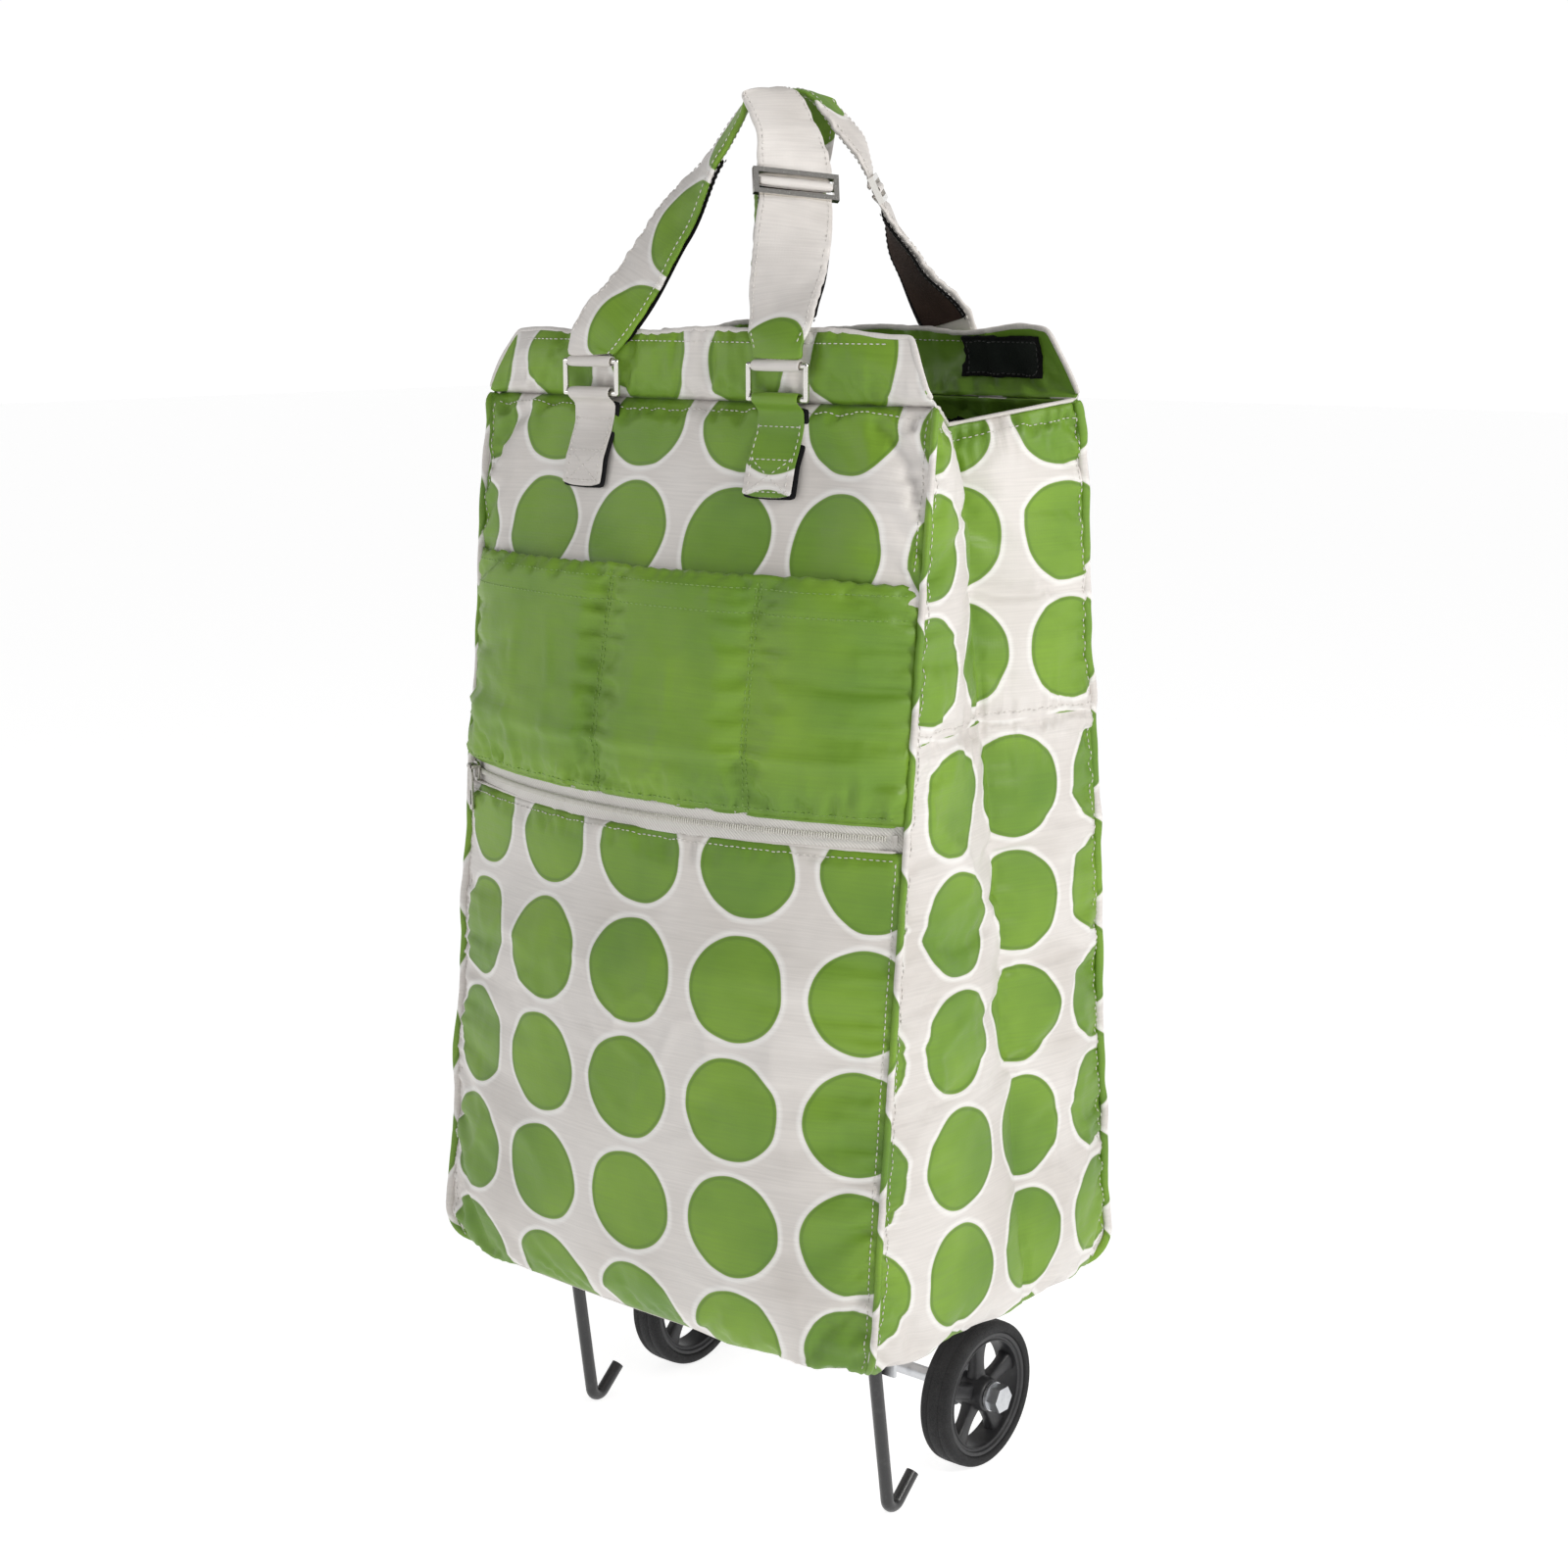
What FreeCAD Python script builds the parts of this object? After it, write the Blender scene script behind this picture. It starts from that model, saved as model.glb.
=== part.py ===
"""Folding shopping trolley bag: a fabric bag on two wheels and a hooked front stand.

Millimetres. X runs to the right seen from the front, -Y is the front, +Z is up.
The origin is on the floor, under the middle of the bag.
"""
import FreeCAD, Part
import math
import os

from FreeCAD import Placement, Rotation, Vector

# Bag body
bag_width = 300.0        # across the front, over the bound seams
base_depth = 208.0       # front to back at the base, at the corner seams
mouth_depth = 120.0      # front to back at the mouth seam
body_height = 468.0      # underside of the base to the mouth seam
body_swell = 26.0        # extra swell of the front and back at mid height
base_swell = 10.0        # swell at the base
mouth_swell = 8.0        # swell at the mouth seam
side_fold = 40.0         # how far the side pleat folds in at the mouth
side_fold_base = 3.0     # the same at the base
fabric_wall = 2.0
fabric_gap = 0.2         # between two curved fabric faces
binding_size = 4.0       # bound corner seam, square
collar_height = 34.0
collar_lean = 4.0        # how far a collar's top edge leans in
collar_slant = 18.0      # how much shorter a collar is at its top edge, each end

# Pocket and zip on the front
zip_height = 201.0       # from the mouth seam down to the zip line
zip_tape_height = 13.0
zip_tape_wall = 1.2
zip_tape_inset = 0.4     # the tape's face behind the fabric's
coil_height = 3.2
coil_wall = 1.6
zip_stop_width = 2.4
zip_stop_wall = 1.4
zip_stop_gap = 1.0       # between a stop and the slider at the end of its travel
zip_stop_reach = 1.0     # stop beyond the coil, above and below
zip_end_margin = 8.0     # from the corner seam to the slider at the end of its travel
slider_length = 8.0
slider_height = 11.0
slider_wall = 2.4
bail_radius = 0.8        # the slider's bail, which carries the pull
bail_post = 1.0
pull_clearance = 0.08
pull_length = 24.0
pull_width = 5.0
pull_wall = 1.4
pull_eye_wall = 0.9
pocket_height = 112.0
pocket_wall = 1.6

# Hook-and-loop patches inside the collars
patch_length = 50.0
patch_height = 22.0
patch_wall = 1.2
patch_gap = 1.0          # between its flat back and the curved collar
patch_offset = 99.0      # centre line to the middle of a patch
patch_lift = 3.0         # above the middle of the collar

# Handle tabs, rings and straps
ring_offset = 62.0       # centre line to the middle of a ring
ring_wire_radius = 1.5
ring_inner_width = 33.0
ring_rise = 16.0         # between the centres of a ring's two long bars
ring_lift = 2.0          # a ring's lower bar above the mouth seam
tab_width = 29.0
tab_length = 48.0
tab_wall = 2.0
tab_bar_clearance = 0.4
strap_width = 38.0
strap_wall = 4.0
strap_ring_width = 31.0  # the strap is gathered to this where it meets its ring
strap_ring_gap = 1.0     # a strap's end above its ring's wire
tape_width = 27.0        # hook-and-loop strip on a strap's inner face
tape_wall = 1.2
glide_length = 14.0      # metal slide on the strap, along the strap
glide_wall = 3.0
glide_bar = 2.6
glide_straight = 3.0     # straight stretch of strap each side of the slide
handle_height = 148.0    # a ring's lower bar to the strap's crown

# Base board and running gear
board_wall = 4.0
board_margin = 8.0
board_corner = 16.0
wheel_radius = 40.0
wheel_width = 18.0
wheel_track = 210.0      # between the middles of the wheels
tyre_depth = 6.0
hub_overhang = 1.0       # hub boss beyond the tyre, each side
hub_radius = 9.5
rim_wall = 5.0
rim_inset = 1.0          # the rim's faces inside the tyre's
spoke_count = 5
spoke_width = 8.0
spoke_wall = 8.0
axle_radius = 4.0
axle_setback = 44.0      # behind the middle of the bag
axle_drop = 64.0         # underside of the base to the axle
bore_clearance = 0.05
end_play = 0.3
bracket_wall = 2.5
bracket_length = 44.0
bracket_foot = 33.0
bracket_boss = 11.0
washer_radius = 8.0
washer_wall = 1.6
nut_flats = 13.0
nut_height = 6.5
nut_dome_wall = 2.4

# Hooked front stand
stand_rod_radius = 3.5
stand_leg_offset = 107.0
stand_pivot_y = -50.0
stand_foot_y = -35.0
stand_bend_radius = 7.0
hook_bend_radius = 5.5
hook_reach = 20.0        # how far a hook's tip is behind its foot
hook_rise = 18.0         # and how far above it
clip_offset = 80.0
clip_width = 16.0
clip_wall = 2.0
clip_foot = 17.0         # clip flange, each side of the rod
stop_width = 18.0
stop_depth = 24.0        # how far a stop reaches below the base
stop_gap = 0.25

# Rivets
rivet_radius = 2.0
rivet_head_radius = 4.2
rivet_head_height = 1.4

cut_past = 1.0           # how far a cutting shape runs past what it cuts

# Worked-out levels
half_width = bag_width / 2
base_z = wheel_radius + axle_drop
floor_z = base_z + fabric_wall
board_top_z = floor_z + board_wall
mouth_z = base_z + body_height
collar_top_z = mouth_z + collar_height
zip_z = mouth_z - zip_height
zip_low_z = zip_z - zip_tape_height / 2
zip_high_z = zip_z + zip_tape_height / 2
pocket_low_z = zip_high_z + fabric_gap
pocket_high_z = pocket_low_z + pocket_height
panel_half = half_width - binding_size
bore_radius = axle_radius + bore_clearance
rod_bore_radius = stand_rod_radius + bore_clearance
stand_pivot_z = base_z - clip_wall - rod_bore_radius
board_half_x = panel_half - board_margin
board_half_y = base_depth / 2 - fabric_wall - board_margin


def half_depth(z):
    """Half the bag's depth at its corner seams."""
    if z > mouth_z:
        return mouth_depth / 2 - collar_lean * (z - mouth_z) / collar_height
    share = (z - base_z) / body_height
    return (base_depth + (mouth_depth - base_depth) * share) / 2


def swell(z):
    """How far the front or back stands out beyond its corner seams."""
    share = min((z - base_z) / body_height, 1.0)
    return base_swell + (mouth_swell - base_swell) * share + body_swell * math.sin(math.pi * share)


def surface_depth(x, z, half=None):
    """Distance of the outer fabric face from the middle plane, at a given x and z."""
    return half_depth(z) + swell(z) * (1 - (x / (half or panel_half)) ** 2)


def levels(low, high, count):
    return [low + (high - low) * i / count for i in range(count + 1)]


def panel_section(side, z, half, offset, wall):
    """Crowned strip of fabric seen from above; side is -1 at the front, +1 at the back."""
    edge = side * (half_depth(z) + offset)
    crown = side * (half_depth(z) + swell(z) + offset)
    inward = -side * wall
    outer = Part.Arc(Vector(-half, edge, z), Vector(0, crown, z), Vector(half, edge, z))
    inner = Part.Arc(Vector(half, edge + inward, z), Vector(0, crown + inward, z),
                     Vector(-half, edge + inward, z))
    right = Part.LineSegment(Vector(half, edge, z), Vector(half, edge + inward, z))
    left = Part.LineSegment(Vector(-half, edge + inward, z), Vector(-half, edge, z))
    return Part.Wire([outer.toShape(), right.toShape(), inner.toShape(), left.toShape()])


def panel(side, heights, offset=0.0, wall=fabric_wall, half_at=lambda z: panel_half):
    sections = [panel_section(side, z, half_at(z), offset, wall) for z in heights]
    return Part.makeLoft(sections, True, True)


def side_panel(side):
    """Pleated side: a V in plan that is deep at the mouth and almost flat at the base."""
    sections = []
    for z in levels(floor_z, mouth_z, 5):
        share = (z - base_z) / body_height
        fold = side_fold_base + (side_fold - side_fold_base) * share ** 2
        end = half_depth(z) - binding_size / 2
        outline = [(half_width, -end), (half_width - fold, 0), (half_width, end),
                   (half_width - fabric_wall, end), (half_width - fold - fabric_wall, 0),
                   (half_width - fabric_wall, -end)]
        points = [Vector(side * x, y, z) for x, y in outline]
        sections.append(Part.makePolygon(points + points[:1]))
    return Part.makeLoft(sections, True, True)


def corner_binding(x_side, y_side):
    """Straight bound seam up one corner of the bag."""
    sections = []
    for z in (floor_z, mouth_z):
        x0 = x_side * (half_width - binding_size)
        x1 = x_side * half_width
        y0 = y_side * (half_depth(z) - binding_size / 2)
        y1 = y_side * (half_depth(z) + binding_size / 2)
        corners = [Vector(x0, y0, z), Vector(x1, y0, z), Vector(x1, y1, z), Vector(x0, y1, z)]
        sections.append(Part.makePolygon(corners + corners[:1]))
    return Part.makeLoft(sections, True, True)


def box(x, y, z):
    """Box from three (low, high) pairs."""
    size = [abs(high - low) for low, high in (x, y, z)]
    return Part.makeBox(*size, Vector(min(x), min(y), min(z)))


def disc_x(radius, x0, x1, y, z):
    """Cylinder along X from x0 to x1."""
    return Part.makeCylinder(radius, abs(x1 - x0), Vector(min(x0, x1), y, z), Vector(1, 0, 0))


def mirror_x(shape):
    return shape.mirror(Vector(0, 0, 0), Vector(1, 0, 0))


def both_sides(shape):
    return [shape, mirror_x(shape)]


def save(name, solids):
    shape = solids[0] if len(solids) == 1 else Part.makeCompound(solids)
    shape.exportStep("parts/%s.step" % name)


# Base: fabric, board, rivet places
def rivet_places():
    """Each rivet's x, y and the metal it passes through under the base."""
    places = []
    foot_middle = bracket_inner_x() - bracket_foot / 2
    for x in (foot_middle - bracket_foot / 4, foot_middle + bracket_foot / 4):
        for y in (axle_setback - bracket_length / 3, axle_setback + bracket_length / 3):
            places.append((x, y, bracket_wall))
    for y in (stand_pivot_y - clip_foot * 0.7, stand_pivot_y + clip_foot * 0.7):
        places.append((clip_offset, y, clip_wall))
    places.append((stand_leg_offset, stop_face_y() + clip_wall + stop_width / 2, clip_wall))
    return places + [(-x, y, wall) for x, y, wall in places]


def rivet_hole(x, y):
    low = base_z - max(bracket_wall, clip_wall) - cut_past
    return Part.makeCylinder(rivet_radius, board_top_z + cut_past - low, Vector(x, y, low))


def with_rivet_holes(shape):
    return shape.cut([rivet_hole(x, y) for x, y, wall in rivet_places()])


def rivet(x, y, wall):
    bottom = base_z - wall
    shank = Part.makeCylinder(rivet_radius, board_top_z - bottom, Vector(x, y, bottom))
    lower = Part.makeCylinder(rivet_head_radius, rivet_head_height,
                              Vector(x, y, bottom - rivet_head_height))
    upper = Part.makeCylinder(rivet_head_radius, rivet_head_height, Vector(x, y, board_top_z))
    return shank.fuse([lower, upper]).removeSplitter()


def base_fabric():
    edge = half_depth(base_z)
    crown = edge + base_swell
    front = Part.Arc(Vector(-half_width, -edge, base_z), Vector(0, -crown, base_z),
                     Vector(half_width, -edge, base_z))
    back = Part.Arc(Vector(half_width, edge, base_z), Vector(0, crown, base_z),
                    Vector(-half_width, edge, base_z))
    right = Part.LineSegment(Vector(half_width, -edge, base_z), Vector(half_width, edge, base_z))
    left = Part.LineSegment(Vector(-half_width, edge, base_z), Vector(-half_width, -edge, base_z))
    outline = Part.Wire([front.toShape(), right.toShape(), back.toShape(), left.toShape()])
    return with_rivet_holes(Part.Face(outline).extrude(Vector(0, 0, fabric_wall)))


def base_board():
    board = box((-board_half_x, board_half_x), (-board_half_y, board_half_y),
                (floor_z, board_top_z))
    uprights = [e for e in board.Edges if abs(e.Vertexes[0].X - e.Vertexes[1].X) < 1e-6
                and abs(e.Vertexes[0].Y - e.Vertexes[1].Y) < 1e-6]
    return with_rivet_holes(board.makeFillet(board_corner, uprights))


# Wheels and axle
def hub_half():
    return wheel_width / 2 + hub_overhang


def bracket_inner_x():
    """Outer face of the bracket's upright, where the inner washer sits."""
    return wheel_track / 2 - hub_half() - end_play - washer_wall


def wheel_hub():
    middle = wheel_track / 2
    rim_radius = wheel_radius - tyre_depth
    rim_half = wheel_width / 2 - rim_inset
    rim = disc_x(rim_radius, middle - rim_half, middle + rim_half, axle_setback, wheel_radius)
    rim = rim.cut(disc_x(rim_radius - rim_wall, middle - wheel_width, middle + wheel_width,
                         axle_setback, wheel_radius))
    boss = disc_x(hub_radius, middle - hub_half(), middle + hub_half(), axle_setback, wheel_radius)
    spokes = []
    for i in range(spoke_count):
        spoke = box((middle - spoke_wall / 2, middle + spoke_wall / 2),
                    (axle_setback - spoke_width / 2, axle_setback + spoke_width / 2),
                    (wheel_radius, wheel_radius + rim_radius - rim_wall / 2))
        spoke.rotate(Vector(middle, axle_setback, wheel_radius), Vector(1, 0, 0),
                     360.0 * i / spoke_count)
        spokes.append(spoke)
    hub = rim.fuse([boss] + spokes).removeSplitter()
    return hub.cut(disc_x(bore_radius, 0, 2 * middle, axle_setback, wheel_radius))


def wheel_tyre():
    middle = wheel_track / 2
    tyre = disc_x(wheel_radius, middle - wheel_width / 2, middle + wheel_width / 2,
                  axle_setback, wheel_radius)
    tyre = tyre.makeFillet(tyre_depth / 2, [e for e in tyre.Edges if e.Closed])
    hole = disc_x(wheel_radius - tyre_depth, 0, 2 * middle, axle_setback, wheel_radius)
    return tyre.cut(hole)


def axle_end_x():
    """Where the axle ends, inside the nut."""
    return wheel_track / 2 + hub_half() + end_play + washer_wall + nut_height


def axle():
    return disc_x(axle_radius, -axle_end_x(), axle_end_x(), axle_setback, wheel_radius)


def washers():
    found = []
    for start in (bracket_inner_x(), wheel_track / 2 + hub_half() + end_play):
        ring = disc_x(washer_radius, start, start + washer_wall, axle_setback, wheel_radius)
        found.append(ring.cut(disc_x(axle_radius, start - cut_past, start + washer_wall + cut_past,
                                     axle_setback, wheel_radius)))
    return found


def axle_nut():
    """Hexagonal nut with a domed end."""
    start = axle_end_x() - nut_height
    corner = nut_flats / math.sqrt(3)
    points = []
    for i in range(6):
        angle = math.radians(60 * i)
        points.append(Vector(start, axle_setback + corner * math.cos(angle),
                             wheel_radius + corner * math.sin(angle)))
    hexagon = Part.Face(Part.makePolygon(points + points[:1])).extrude(Vector(nut_height, 0, 0))
    dome_radius = axle_radius + nut_dome_wall
    dome = Part.makeSphere(dome_radius, Vector(axle_end_x(), axle_setback, wheel_radius))
    dome = dome.common(box((axle_end_x() - 0.5, axle_end_x() + dome_radius),
                           (axle_setback - dome_radius, axle_setback + dome_radius),
                           (wheel_radius - dome_radius, wheel_radius + dome_radius)))
    nut = hexagon.fuse(dome)
    return nut.cut(disc_x(axle_radius, start - cut_past, axle_end_x(), axle_setback, wheel_radius))


def axle_bracket():
    """Upright plate that narrows down to the axle, with a riveted foot under the base."""
    outer = bracket_inner_x()
    inner = outer - bracket_wall
    half = bracket_length / 2
    angle = math.atan2(base_z - wheel_radius, half) - math.acos(
        bracket_boss / math.hypot(half, base_z - wheel_radius))
    tangent = Vector(0, bracket_boss * math.cos(angle), bracket_boss * math.sin(angle))
    centre = Vector(inner, axle_setback, wheel_radius)
    right = centre + tangent
    left = centre + Vector(0, -tangent.y, tangent.z)
    low = centre + Vector(0, 0, -bracket_boss)
    top_right = Vector(inner, axle_setback + half, base_z)
    top_left = Vector(inner, axle_setback - half, base_z)
    outline = Part.Wire([Part.LineSegment(top_left, top_right).toShape(),
                         Part.LineSegment(top_right, right).toShape(),
                         Part.Arc(right, low, left).toShape(),
                         Part.LineSegment(left, top_left).toShape()])
    upright = Part.Face(outline).extrude(Vector(bracket_wall, 0, 0))
    foot = box((outer - bracket_foot, outer), (axle_setback - half, axle_setback + half),
               (base_z - bracket_wall, base_z))
    bracket = upright.fuse(foot).removeSplitter()
    bracket = bracket.cut(disc_x(axle_radius, inner - cut_past, outer + cut_past, axle_setback,
                                 wheel_radius))
    return with_rivet_holes(bracket)


# Hooked front stand
def rounded_path(points, radii):
    """Straight runs joined by tangent arcs, one radius for each inner point."""
    edges = []
    start = points[0]
    for i, radius in enumerate(radii, start=1):
        before = (points[i - 1] - points[i]).normalize()
        after = (points[i + 1] - points[i]).normalize()
        half_angle = before.getAngle(after) / 2
        reach = radius / math.tan(half_angle)
        middle = (before + after).normalize()
        centre = points[i] + middle * (radius / math.sin(half_angle))
        first = points[i] + before * reach
        last = points[i] + after * reach
        edges.append(Part.LineSegment(start, first).toShape())
        edges.append(Part.Arc(first, centre - middle * radius, last).toShape())
        start = last
    edges.append(Part.LineSegment(start, points[-1]).toShape())
    return Part.Wire(edges)


def round_rod(path, radius):
    start = path.Edges[0].valueAt(path.Edges[0].FirstParameter)
    along = path.Edges[0].tangentAt(path.Edges[0].FirstParameter)
    profile = Part.Wire(Part.Circle(start, along, radius).toShape())
    return path.makePipeShell([profile], True, False)


def stand():
    """One bent rod: a crossbar under the base, two legs, and a hook at each foot."""
    knee = Vector(stand_leg_offset, stand_pivot_y, stand_pivot_z)
    foot = Vector(stand_leg_offset, stand_foot_y, stand_rod_radius)
    down = (foot - knee).normalize()
    rise = Vector(0, hook_reach, hook_rise).normalize()
    inner_angle = (down * -1).getAngle(rise)
    # the outside of the foot's bend is what touches the floor
    drop = hook_bend_radius / math.sin(inner_angle / 2) - hook_bend_radius
    foot = foot + Vector(0, 0, -drop)
    tip = foot + Vector(0, hook_reach, hook_rise)
    right = [tip, foot, knee]
    left = [Vector(-p.x, p.y, p.z) for p in reversed(right)]
    radii = [hook_bend_radius, stand_bend_radius, stand_bend_radius, hook_bend_radius]
    return round_rod(rounded_path(right + left, radii), stand_rod_radius)


def stand_clip():
    """Saddle clip round the crossbar with a riveted foot each side."""
    x = (clip_offset - clip_width / 2, clip_offset + clip_width / 2)
    foot = box(x, (stand_pivot_y - clip_foot, stand_pivot_y + clip_foot),
               (base_z - clip_wall, base_z))
    saddle = disc_x(rod_bore_radius + clip_wall, x[0], x[1], stand_pivot_y, stand_pivot_z)
    clip = foot.fuse(saddle).removeSplitter()
    clip = clip.cut(disc_x(rod_bore_radius, x[0] - cut_past, x[1] + cut_past, stand_pivot_y,
                           stand_pivot_z))
    return with_rivet_holes(clip)


def stop_face_y():
    """Front face of a stop: behind the leg, at the stop's lower edge."""
    lean = math.atan2(stand_foot_y - stand_pivot_y, stand_pivot_z - stand_rod_radius)
    below = stand_pivot_z - (base_z - stop_depth)
    return stand_pivot_y + below * math.tan(lean) + stand_rod_radius / math.cos(lean) + stop_gap


def stand_stop():
    """Angle piece that the leg leans on when the bag stands."""
    x = (stand_leg_offset - stop_width / 2, stand_leg_offset + stop_width / 2)
    face = stop_face_y()
    tab = box(x, (face, face + clip_wall), (base_z - stop_depth, base_z))
    foot = box(x, (face, face + clip_wall + stop_width), (base_z - clip_wall, base_z))
    return with_rivet_holes(tab.fuse(foot).removeSplitter())


# Handles
def handle_pivot():
    """y and z of a ring's lower bar at the front; the back handle is its mirror."""
    loop = ring_wire_radius + tab_bar_clearance + tab_wall
    near_edge = ring_offset - tab_width / 2
    return -(surface_depth(near_edge, mouth_z) + 2 * fabric_gap + loop), mouth_z + ring_lift


def front_tab():
    """Folded webbing: a loop round the ring's bar and a tail down the bag."""
    y, z = handle_pivot()
    x = (ring_offset - tab_width / 2, ring_offset + tab_width / 2)
    bore = ring_wire_radius + tab_bar_clearance
    loop = disc_x(bore + tab_wall, x[0], x[1], y, z)
    tail = box(x, (y + bore, y + bore + tab_wall), (z - tab_length, z))
    drop = surface_depth(x[0], z - tab_length) - surface_depth(x[0], z)
    # each end of the tail keeps the same distance to the crowned panel
    tail.rotate(Vector(0, y + bore + tab_wall, z), Vector(1, 0, 0),
                -math.degrees(math.atan2(drop, tab_length)))
    tab = loop.fuse(tail).removeSplitter()
    return tab.cut(disc_x(bore, x[0] - cut_past, x[1] + cut_past, y, z))


def front_ring():
    """Rectangular ring of round wire, standing on its lower bar."""
    y, z = handle_pivot()
    half = (ring_inner_width + 2 * ring_wire_radius) / 2
    corners = [Vector(ring_offset - half, y, z), Vector(ring_offset + half, y, z),
               Vector(ring_offset + half, y, z + ring_rise),
               Vector(ring_offset - half, y, z + ring_rise)]
    bars = []
    for start, end in zip(corners, corners[1:] + corners[:1]):
        bars.append(Part.makeCylinder(ring_wire_radius, (end - start).Length, start, end - start))
        bars.append(Part.makeSphere(ring_wire_radius, start))
    return bars[0].fuse(bars[1:]).removeSplitter()


def strap_route():
    """Middle line of the front strap and the way its outer face looks, ring to ring."""
    y, z = handle_pivot()
    top = z + ring_rise + ring_wire_radius + strap_ring_gap
    crown = z + handle_height
    left = [
        ((-ring_offset, y, top), (0, -1, 0), strap_ring_width),
        ((-ring_offset, y, top + 5), (0, -1, 0), strap_ring_width),
        ((-ring_offset + 6, y + 4, top + 16), (-0.05, -1, 0.2), strap_width),
        ((-ring_offset + 15, y + 12, top + 30), (-0.1, -0.95, 0.3), strap_width),
        ((-ring_offset + 31, y + 26, top + 64), (-0.2, -0.9, 0.35), strap_width),
        ((-ring_offset + 50, y + 41, top + 100), (-0.5, -0.65, 0.6), strap_width),
        ((8, -strap_width / 2 - 0.5, crown), (0, -0.1, 1), strap_width - 4),
    ]
    right = [
        ((28, y + 47, crown - 18), (0.75, -0.25, 0.6), strap_width - 2),
        ((41, y + 39, crown - 46), (0.8, -0.55, 0.2), strap_width),
        ((50, y + 24, crown - 82), (0.5, -0.85, 0.15), strap_width),
        ((60, y + 5, top + 17), (0.1, -1, 0.2), strap_width),
        ((ring_offset, y, top + 5), (0, -1, 0), strap_ring_width),
        ((ring_offset, y, top), (0, -1, 0), strap_ring_width),
    ]
    return left, right


def strap_solid(stations, wall, offset=0.0, width=None, first=0, last=None):
    """Flat strap lofted through its stations; offset moves it along its outer face's normal.

    first and last pick a stretch of the stations, as for a strip sewn on part of the strap.
    """
    points = [Vector(*place) for place, facing, station_width in stations]
    sections = []
    for i, (place, facing, station_width) in enumerate(stations):
        along = (points[min(i + 1, len(points) - 1)] - points[max(i - 1, 0)]).normalize()
        across = along.cross(Vector(*facing)).normalize()
        normal = across.cross(along)
        middle = points[i] + normal * offset
        half = across * ((width or station_width) / 2)
        rise = normal * (wall / 2)
        corners = [middle - half - rise, middle + half - rise,
                   middle + half + rise, middle - half + rise]
        sections.append(Part.makePolygon(corners + corners[:1]))
    return Part.makeLoft(sections[first:last], True, True)


def glide_frame():
    """The metal slide's middle, and its axes along and across the strap and out of its face."""
    upper, middle, lower = strap_route()[1][:3]
    along = (Vector(*lower[0]) - Vector(*upper[0])).normalize()
    across = along.cross(Vector(*middle[1])).normalize()
    return Vector(*middle[0]), along, across, across.cross(along)


def beside_glide(distance):
    """Two stations in line with the slide: one against it, one a little further along the strap."""
    middle, along, across, normal = glide_frame()
    near = glide_length / 2 + fabric_gap
    side = 1 if distance > 0 else -1
    return [(tuple(middle + along * (side * reach)), tuple(normal), strap_width)
            for reach in (near, near + abs(distance))]


def strap_stations():
    left, right = strap_route()
    against, further = beside_glide(-glide_straight)
    return left + [right[0], further, against]


def tail_stations():
    return beside_glide(glide_straight) + strap_route()[1][2:]


def handle_tape():
    """Hook-and-loop strips on the inner face: up the left leg, and along the right tail."""
    inset = -(strap_wall / 2 + fabric_gap + tape_wall / 2)
    return [strap_solid(strap_stations(), tape_wall, inset, tape_width, 2, 6),
            strap_solid(tail_stations(), tape_wall, inset, tape_width, 1, 4)]


def handle_glide():
    """Metal slide: a flat frame with a middle bar."""
    middle, along, across, normal = glide_frame()
    width = strap_width + 2 * glide_bar
    frame = box((-width / 2, width / 2), (-glide_wall / 2, glide_wall / 2),
                (-glide_length / 2, glide_length / 2))
    slot = (glide_length - 3 * glide_bar) / 2
    for side in (-1, 1):
        middle_z = side * (glide_bar + slot) / 2
        frame = frame.cut(box((-width / 2 + glide_bar, width / 2 - glide_bar),
                              (-glide_wall, glide_wall),
                              (middle_z - slot / 2, middle_z + slot / 2)))
    turn = Rotation(across, normal, along, "ZXY")
    frame.Placement = Placement(middle, turn)
    return frame


def back(shape):
    """The back handle is the front one mirrored front to back."""
    return shape.mirror(Vector(0, 0, 0), Vector(0, 1, 0))


# Zip and pocket
def zip_arc():
    """Radius of the zip's coil face in plan, and the y of its centre."""
    outer = half_depth(zip_z) + coil_wall
    rise = swell(zip_z)
    radius = (panel_half ** 2 + rise ** 2) / (2 * rise)
    return radius, radius - (outer + rise)


def zip_park_angle():
    radius = zip_arc()[0]
    return math.degrees(math.asin((panel_half - zip_end_margin) / radius))


def parked(shape, sign=-1):
    """Turns a piece made at the middle of the zip to one of its ends."""
    shape = shape.copy()
    shape.rotate(Vector(0, zip_arc()[1], 0), Vector(0, 0, 1), sign * zip_park_angle())
    return shape


def bail_place():
    """y and z of the bail's bar, with the slider at the middle of the zip."""
    radius, centre = zip_arc()
    face = centre - radius - fabric_gap - slider_wall
    reach = bail_radius + pull_clearance + pull_eye_wall + fabric_gap
    return face - reach, zip_z + slider_height / 4


def zipper_slider():
    radius, centre = zip_arc()
    face = centre - radius - fabric_gap
    body = box((-slider_length / 2, slider_length / 2), (face - slider_wall, face),
               (zip_z - slider_height / 2, zip_z + slider_height / 2))
    y, z = bail_place()
    bar = disc_x(bail_radius, -slider_length / 2, slider_length / 2, y, z)
    posts = [box((x, x + bail_post), (y - bail_radius, face - slider_wall / 2),
                 (z - bail_radius, z + bail_radius))
             for x in (-slider_length / 2, slider_length / 2 - bail_post)]
    return parked(body.fuse([bar] + posts).removeSplitter())


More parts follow.
